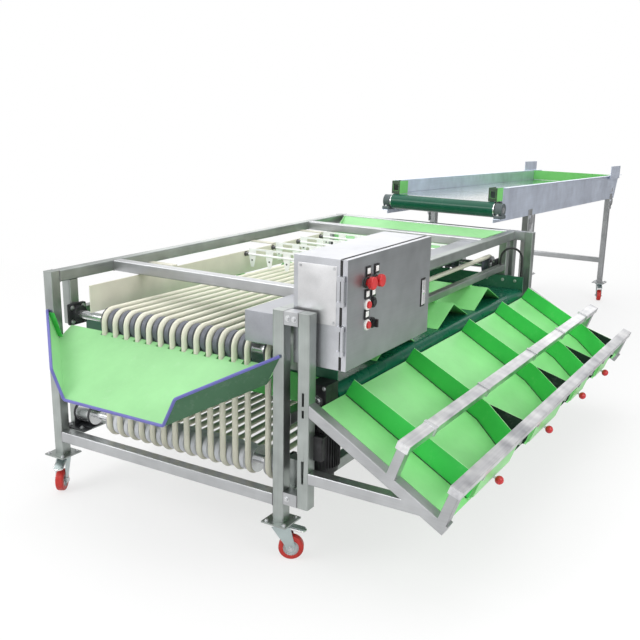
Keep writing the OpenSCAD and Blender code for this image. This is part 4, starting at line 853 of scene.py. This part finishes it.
fin_place = fins.node("GeometryNodeTransform", None, {
    "Geometry": fins.node("GeometryNodeRealizeInstances", None, {0: fin_ring}),
    "Translation": at(MOTOR_X, MOTOR_Y, MOTOR_Z)})
fins.grow("motor_fins", marks([((0, 0, 0), UP)]), fin_place, motor_black, "machine", "black")
block_piece("motor_terminal_box", (((533, 30, 350), (617, 52, 430)), ((528, 26, 424), (622, 54, 432))), 0.004,
            motor_black)
turned_piece("gear_shaft_end", [(SHAFT_END, at(MOTOR_X, GEAR_FACE_Y, GEAR_Z))], -Y_OUT, shaft_steel)
gear_screws = [(at(GEAR_X + x, GEAR_FACE_Y, GEAR_Z + z), -Y_OUT)
               for x in GEAR_SCREW_X for z in GEAR_SCREW_Z]
heads("gear_box_screws", gear_screws, across=9, tall=4, washer=13)


# Control cabinet: a folded stainless box on the top rail with a pan-shaped door, hinged at its near edge.
# A black seal runs round the door, its top strip a painted shadow line, and a plated latch on a black plate
# that paints its shadow shuts it. The near face carries a bare plate on four rivets.
DOOR_FRONT = 0.8
BARE_PLATE_Y, RIVET_X, RIVET_Z = 50.4, (523, 637), (780, 937)
cabinet_steel = stainless("cabinet_sheet", (0.56, 0.57, 0.60), grain=240.0, metal=0.85, bumps=0.02)
# The door's front face gets a darker steel than the rest of the sheet; the difference is painted shade.
door_front_shade_steel = stainless("door_sheet_painted_shade", (0.42, 0.44, 0.455), (0.285, 0.37), 240.0, 0.15, bumps=0.015)
seal_and_shadow_black = plastic("door_seal_and_shadow", (0.012, 0.012, 0.012), 0.6, 0.2)
rounded("cabinet_body", 0.0015, [cabinet_steel], shortest=0.05)
door = rounded("cabinet_door", 0.005, [door_front_shade_steel, cabinet_steel], shortest=0.05,
               body="cabinet_door")
# Front faces get the darker door steel, painted shade; the pan's edges keep the cabinet's steel.
sort_faces(door, lambda c, n: int(n.x <= DOOR_FRONT))
# The fourth block, along the top, is a black strip that paints the shadow line between the door's top flange
# and the cabinet top.
block_piece("door_seal_and_shadow", (
    ((656, 51.2, 641), (663.4, 52.4, 965)), ((656, 607.6, 641), (663.4, 608.8, 965)),
    ((656, 53, 639.2), (663.4, 607, 640.4)), ((655, 53, 965.7), (663.7, 607, 966.7))),
    0.0004, seal_and_shadow_black)
chrome = stainless("chrome_plate", (0.82, 0.82, 0.83), (0.12, 0.2), 300.0, 0.05)
rounded("door_latch", 0.0022, [chrome], shortest=0.02, body="door_latch")
# A black plate under the latch, a little wider than it, paints the latch's shadow on the door.
block_piece("latch_shadow_plate", [((680.1, 540, 738), (680.9, 574, 834))], 0.0003, seal_and_shadow_black,
            "cabinet_door")
plate_steel = stainless("bare_plate", (0.70, 0.70, 0.71), (0.30, 0.42), 320.0, 0.05)
block_piece("bare_plate", [((515, BARE_PLATE_Y, 772), (645, 52.2, 945))], 0.0006, plate_steel)
plate_rivets = [(at(x, BARE_PLATE_Y, z), -Y_OUT) for x in RIVET_X for z in RIVET_Z]
heads("plate_rivets", plate_rivets, across=7, tall=2.4, washer=9, sides=14)


# Door controls: red mushroom stops and push buttons, a black button and a black selector, all in moulded
# collars, and legend holders with blank white inserts. They ride on the door.
DOOR_X = 680.0
COLLAR = ((16.5, 0.2), (16.5, 5.0), (15.4, 6.4), (11.4, 6.4), (11.4, 0.2))
PALE_RING = ((16.5, 0.2), (16.5, 5.4), (15.2, 6.6), (11.4, 6.6), (11.4, 0.2))
BLACK_BUTTON, BLACK_BUTTON_AT = ((11.2, 0.2), (11.2, 9.0), (9.8, 10.4), (0.4, 10.4)), (204, 819)
COLLARS_AT = ((160, 886), (212, 886), (202, 757), BLACK_BUTTON_AT)
PALE_RINGS_AT = ((169, 818), (169, 757))
HOLDER, INSERT = ((0.2, -14, -15), (3.4, 14, 15)), ((3.0, -9, -8), (4.0, 9, 9))
LEGENDS_AT = ((171, 918), (223, 918), (168, 850), (205, 850), (168, 789))
button_red = plastic("button_red", (0.58, 0.012, 0.014), 0.28, 0.08, coat=0.3)
black_gloss = plastic("control_black", (0.012, 0.012, 0.013), 0.30, 0.1)
insert_white = plastic("blank_insert", (0.84, 0.84, 0.82), 0.45, 0.03)
for control, edge in (("stop_button_near", 0.0030), ("stop_button_far", 0.0030),
                      ("push_button_upper", 0.0012), ("push_button_lower", 0.0012)):
    rounded(control, edge, [button_red], shortest=0.0005, body=control, angle=60.0)
rounded("selector", 0.0012, [black_gloss], shortest=0.002, body="selector")
collars = [(COLLAR, at(DOOR_X, *spot)) for spot in COLLARS_AT]
collars.append((BLACK_BUTTON, at(DOOR_X, *BLACK_BUTTON_AT)))
turned_piece("control_collars", collars, X_OUT, black_gloss, "cabinet_door")
pale_rings = [(PALE_RING, at(DOOR_X, *spot)) for spot in PALE_RINGS_AT]
turned_piece("push_button_rings", pale_rings, X_OUT, insert_white, "cabinet_door")
holders, inserts = [[[(DOOR_X + out, y + side, z + rise) for out, side, rise in block] for y, z in LEGENDS_AT]
                    for block in (HOLDER, INSERT)]
block_piece("legend_holders", holders, 0.001, black_gloss, "cabinet_door")
block_piece("legend_inserts", inserts, 0.0004, insert_white, "cabinet_door")


# Side trays: lime lined floor panels between bright green dividers, on stainless end frames. Two
# stainless bars cross over them, banded at each divider, and gates with red ball knobs close the outlets.
TRAY_HEAD_X, TRAY_HEAD_Z, TRAY_SLOPE = 600, 528, math.radians(30)
TRAY_END, LEG_LEAN = 490.0, math.radians(10)
DIVIDER_Y = (180, 600, 1100, 1470, 1820)
FORK_Y, FORK_AT, FORK_SPREAD = DIVIDER_Y[1:], 0.330, 0.5
CLIP_HALF = 0.0075
WEDGE_SHADE_LINE, WEDGE_SHADE_FACES = ((338, 0), (TRAY_END, -75), (TRAY_END, 75)), (0.2, 2.0)
GAP_SHADOW_R, GAP_SHADOW_LIFT, GAP_SHADOW_FROM, GAP_SHADOW_OUT = 1.7, 0.6, 14, 2.6
NEAR_ARM, FAR_ARM = (328, -83), (334, 77.6)
FAR_GAP_SHADOW_OUT = 1.2
KNOB_Y = (347.5, 850.0, 1285.0, 1645.0)
KNOB_AT, GATE_ROD_AT = (36, 14), (13, 80)
KNOB_R, KNOB_SHANK, GATE_ROD_R = 0.0142, 0.026, 0.0045


def on_tray(run, y, height):
    """A point of the trays, from the distance down the slope and the height over the floor."""
    return at(TRAY_HEAD_X + run * math.cos(TRAY_SLOPE) + height * math.sin(TRAY_SLOPE), y,
              TRAY_HEAD_Z - run * math.sin(TRAY_SLOPE) + height * math.cos(TRAY_SLOPE))


def on_leg(x, y, z):
    """A point in the leaning frame of the lower bar's legs."""
    return on_tray(TRAY_END + x * math.cos(LEG_LEAN) - z * math.sin(LEG_LEAN), y,
                   x * math.sin(LEG_LEAN) + z * math.cos(LEG_LEAN))


rounded("tray_frame", 0.0035, [steel])
# The bars' strong contrast paints bright and dark patches of mirrored surroundings into their colour, over
# the steel's own mottling.
bar_steel_painted_reflections = stainless("bar_tube_painted_reflections", (0.70, 0.71, 0.77), (0.285, 0.36), grain=120.0, dents=0.8, metal=0.95,
                      bumps=0.25, contrast=0.48)
bars = rounded("tray_bars", 0.0028, [bar_steel_painted_reflections, zinc], shortest=0.1)
clip_rows = [at(0, y, 0).y for y in DIVIDER_Y]
for face in bars.data.polygons:
    reach = [bars.data.vertices[v].co.y for v in face.vertices]
    face.material_index = int(any(max(abs(y - row) for y in reach) < CLIP_HALF for row in clip_rows))
tray_lining = lined("tray_lining", (0.27, 0.73, 0.26))
sheet("tray_floor", 0.0006, [tray_lining])
divider_green = lined("divider_green", (0.045, 0.62, 0.095), 0.32)
# Upward-facing edges of the dividers get a paler green, a painted highlight from the overhead light.
painted_highlight_edge = lined("painted_highlight_edge", (0.42, 0.80, 0.38))
# A near-black green that paints the shade deep between the arms of each fork.
wedge_shade_green = lined("wedge_painted_shade", (0.008, 0.036, 0.016), 0.6).set(specular_ior_level=0.1)
dividers = sheet("tray_dividers", 0.0007, [divider_green, painted_highlight_edge, wedge_shade_green])
floor_up = Vector((math.sin(TRAY_SLOPE), 0, math.cos(TRAY_SLOPE)))
tray_head = on_tray(0, 0, 0)


def divider_finish(centre, normal):
    """Pale on the upper edges, a painted highlight; near black between the arms of a fork, painted shade;
    green elsewhere.
    """
    off = centre - tray_head
    fork_half = (off.x * math.cos(TRAY_SLOPE) - off.z * math.sin(TRAY_SLOPE) - FORK_AT) * FORK_SPREAD
    in_fork = any(abs(off.y - y / 1000) < fork_half - 0.0005 for y in FORK_Y)
    # Faces turned up from the tray floor: painted highlight.
    if normal.dot(floor_up) > 0.6:
        return 1
    return 2 if in_fork and abs(normal.y) > 0.5 else 0


sort_faces(dividers, divider_finish)
# Thin near-black sheets on the floor inside each fork paint the shade between its arms.
wedge_shade_bm = bmesh.new()
for y in FORK_Y:
    prism(wedge_shade_bm, *[[on_tray(run, y + side, height) for run, side in WEDGE_SHADE_LINE] for height in WEDGE_SHADE_FACES])
mesh_piece("wedge_shade_sheets", wedge_shade_bm, [wedge_shade_green], "machine")
# Thin black beads along the foot of each divider paint the shadow in the gap between divider and floor.
gap_shadow_black = plastic("gap_shadow_bead", (0.010, 0.016, 0.011), 0.6, 0.2)
gap_shadow_lines = [((GAP_SHADOW_FROM, y - GAP_SHADOW_OUT), (NEAR_ARM[0], y - GAP_SHADOW_OUT), (TRAY_END, y + NEAR_ARM[1]))
              for y in FORK_Y]
gap_shadow_lines.append([(run, DIVIDER_Y[0] - GAP_SHADOW_OUT) for run in (GAP_SHADOW_FROM, TRAY_END)])
gap_shadow_lines += [((FAR_ARM[0], y - FAR_GAP_SHADOW_OUT), (TRAY_END, y + FAR_ARM[1])) for y in FORK_Y]
gap_shadows = [([on_tray(run, y, GAP_SHADOW_LIFT) for run, y in line], False) for line in gap_shadow_lines]
swept("divider_gap_shadows", gap_shadows, GAP_SHADOW_R, gap_shadow_black, slot="black", sides=8)
knob_red = plastic("knob_red", (0.56, 0.010, 0.014), 0.24, 0.06, coat=0.5)
gate_green = lined("gate_green", (0.26, 0.70, 0.24))


def gate_finish(centre, ball, rod):
    """Red on the ball, zinc on its shank and the hinge rod, and green elsewhere."""
    from_ball = (centre - ball).length
    if from_ball < KNOB_R:
        return 1
    on_rod = math.hypot(centre.x - rod.x, centre.z - rod.z) < GATE_ROD_R
    return 2 if on_rod or from_ball < KNOB_SHANK else 0


for gate, y in enumerate(KNOB_Y, 1):
    ball, rod = [on_leg(x, y, z) for x, z in (KNOB_AT, GATE_ROD_AT)]
    paint_by(f"gate_{gate}", [gate_green, knob_red, zinc], lambda c, n: gate_finish(c, ball, rod))


# Infeed conveyor: folded stainless sides with a green belt over two rollers, green covers at the head
# corners and a green board across the tail. It stands on its own legs behind the grader.
COVER_X, COVER_Y = (0.2452, 0.2888), (-0.0074, 0.0890)
infeed_skin = belt_skin("infeed_belt", (0.001, 0.078, 0.043), 0.18, 0.8)
# A lighter teal for the belt's upper run, which paints the sheen of the overhead light; its clear coat is the
# belt's real gloss.
sheen_painted_top = belt_skin("infeed_belt_top_painted_sheen", (0.030, 0.110, 0.085), 0.16, 1.0, 1.6)
infeed_sheet = stainless("infeed_sheet", (0.68, 0.74, 0.88), grain=200.0, dents=0.3, metal=0.7)
guard_green = lined("guard_green", (0.16, 0.60, 0.13))
# A near-black green that paints the shade inside the guards' open covers.
guard_shade_dark = lined("guard_inside_painted_shade", (0.02, 0.05, 0.02), 0.5)
leg_steel = stainless("leg_tube", (0.46, 0.47, 0.48))
sheet("infeed_sides", 0.0010, [infeed_sheet])
guards = sheet("infeed_guards", 0.0008, [guard_green, guard_shade_dark])
infeed_head = on_infeed(0, 0, 0)


def guard_finish(centre, normal):
    """Dark inside the open covers and on faces turned to the grader ahead of the head roller, as painted
    shade; green elsewhere.
    """
    off = centre - infeed_head
    run = off.y * math.cos(INFEED_FALL) - off.z * math.sin(INFEED_FALL)
    inside = COVER_X[0] < abs(off.x) < COVER_X[1] and COVER_Y[0] < run < COVER_Y[1]
    return int(inside or (normal.y < -0.9 and run < 0))


sort_faces(guards, guard_finish)
rounded("infeed_stand", 0.004, [leg_steel], along=UP)
# Faces facing up get the lighter top finish: painted sheen.
paint_by("infeed_belt", [infeed_skin, sheen_painted_top], lambda c, n: int(n.z > 0.9))
paint_by("infeed_bed", [sheet_steel])
for roller in ("infeed_head_roller", "infeed_tail_roller"):
    paint_by(roller, [roller_steel])


# Castors: zinc plated forks with brake pedals, and red polyurethane wheels on pale hubs.
# Fork and wheel are bodies of their own. The wheel keeps its solid and gets its finish by face.
HUB_EDGE, AXLE_TRAIL, AXLE_Z = 0.0262, 32, 40
CHEEK_IN, CHEEK_OUT = 15.7, 19.3
CHEEK_LINE = ((-28, 113), (30, 113), (46, 46), (43, 33), (32, 27.5), (21, 33), (17, 46))
PEDAL_LINE = ((20, -15, 111), (70, -15, 97), (80, 0, 96), (70, 15, 97), (20, 15, 111))
wheel_red = plastic("wheel_red", (0.56, 0.030, 0.022), 0.36, 0.1)
hub_pale = plastic("pale_hub", (0.62, 0.63, 0.64), 0.4)
fork_zinc = stainless("fork_zinc", (0.46, 0.53, 0.53), (0.29, 0.45), 300.0, 0.2)


def on_castor(x, y, turn, trail, side, z):
    """A point of a castor, from its swivel, along the way that it trails."""
    c, s = math.cos(math.radians(turn)), math.sin(math.radians(turn))
    return at(x + trail * c - side * s, y + trail * s + side * c, z)


for number, swivel in enumerate(CASTORS, 1):
    fork = f"castor_fork_{number}"
    rounded(fork, 0.0012, [fork_zinc], shortest=0.008, segments=2, body=fork)
    hub = on_castor(*swivel, AXLE_TRAIL, 0, AXLE_Z)
    turn = math.radians(swivel[2])
    axle = Vector((-math.sin(turn), math.cos(turn), 0))
    nuts = [(hub + way * axle * CHEEK_OUT / 1000, way * axle) for way in SIDES]
    heads(f"axle_nuts_{number}", nuts, across=16, tall=6.5, washer=20, body=fork)
    cheek_bm = bmesh.new()
    for way in SIDES:
        prism(cheek_bm, *[[on_castor(*swivel, trail, way * side, z) for trail, z in CHEEK_LINE]
                          for side in (CHEEK_IN, CHEEK_OUT)])
    mesh_piece(f"castor_cheeks_{number}", cheek_bm, [fork_zinc], fork)
    pedal_line = [on_castor(*swivel, *spot) for spot in PEDAL_LINE]
    swept(f"brake_pedal_{number}", [(pedal_line, False)], 4.0, chrome, fork, bend=9)
    paint_by(f"castor_wheel_{number}", [wheel_red, hub_pale],
             lambda c, n: int((c - hub - axle * (c - hub).dot(axle)).length < HUB_EDGE))
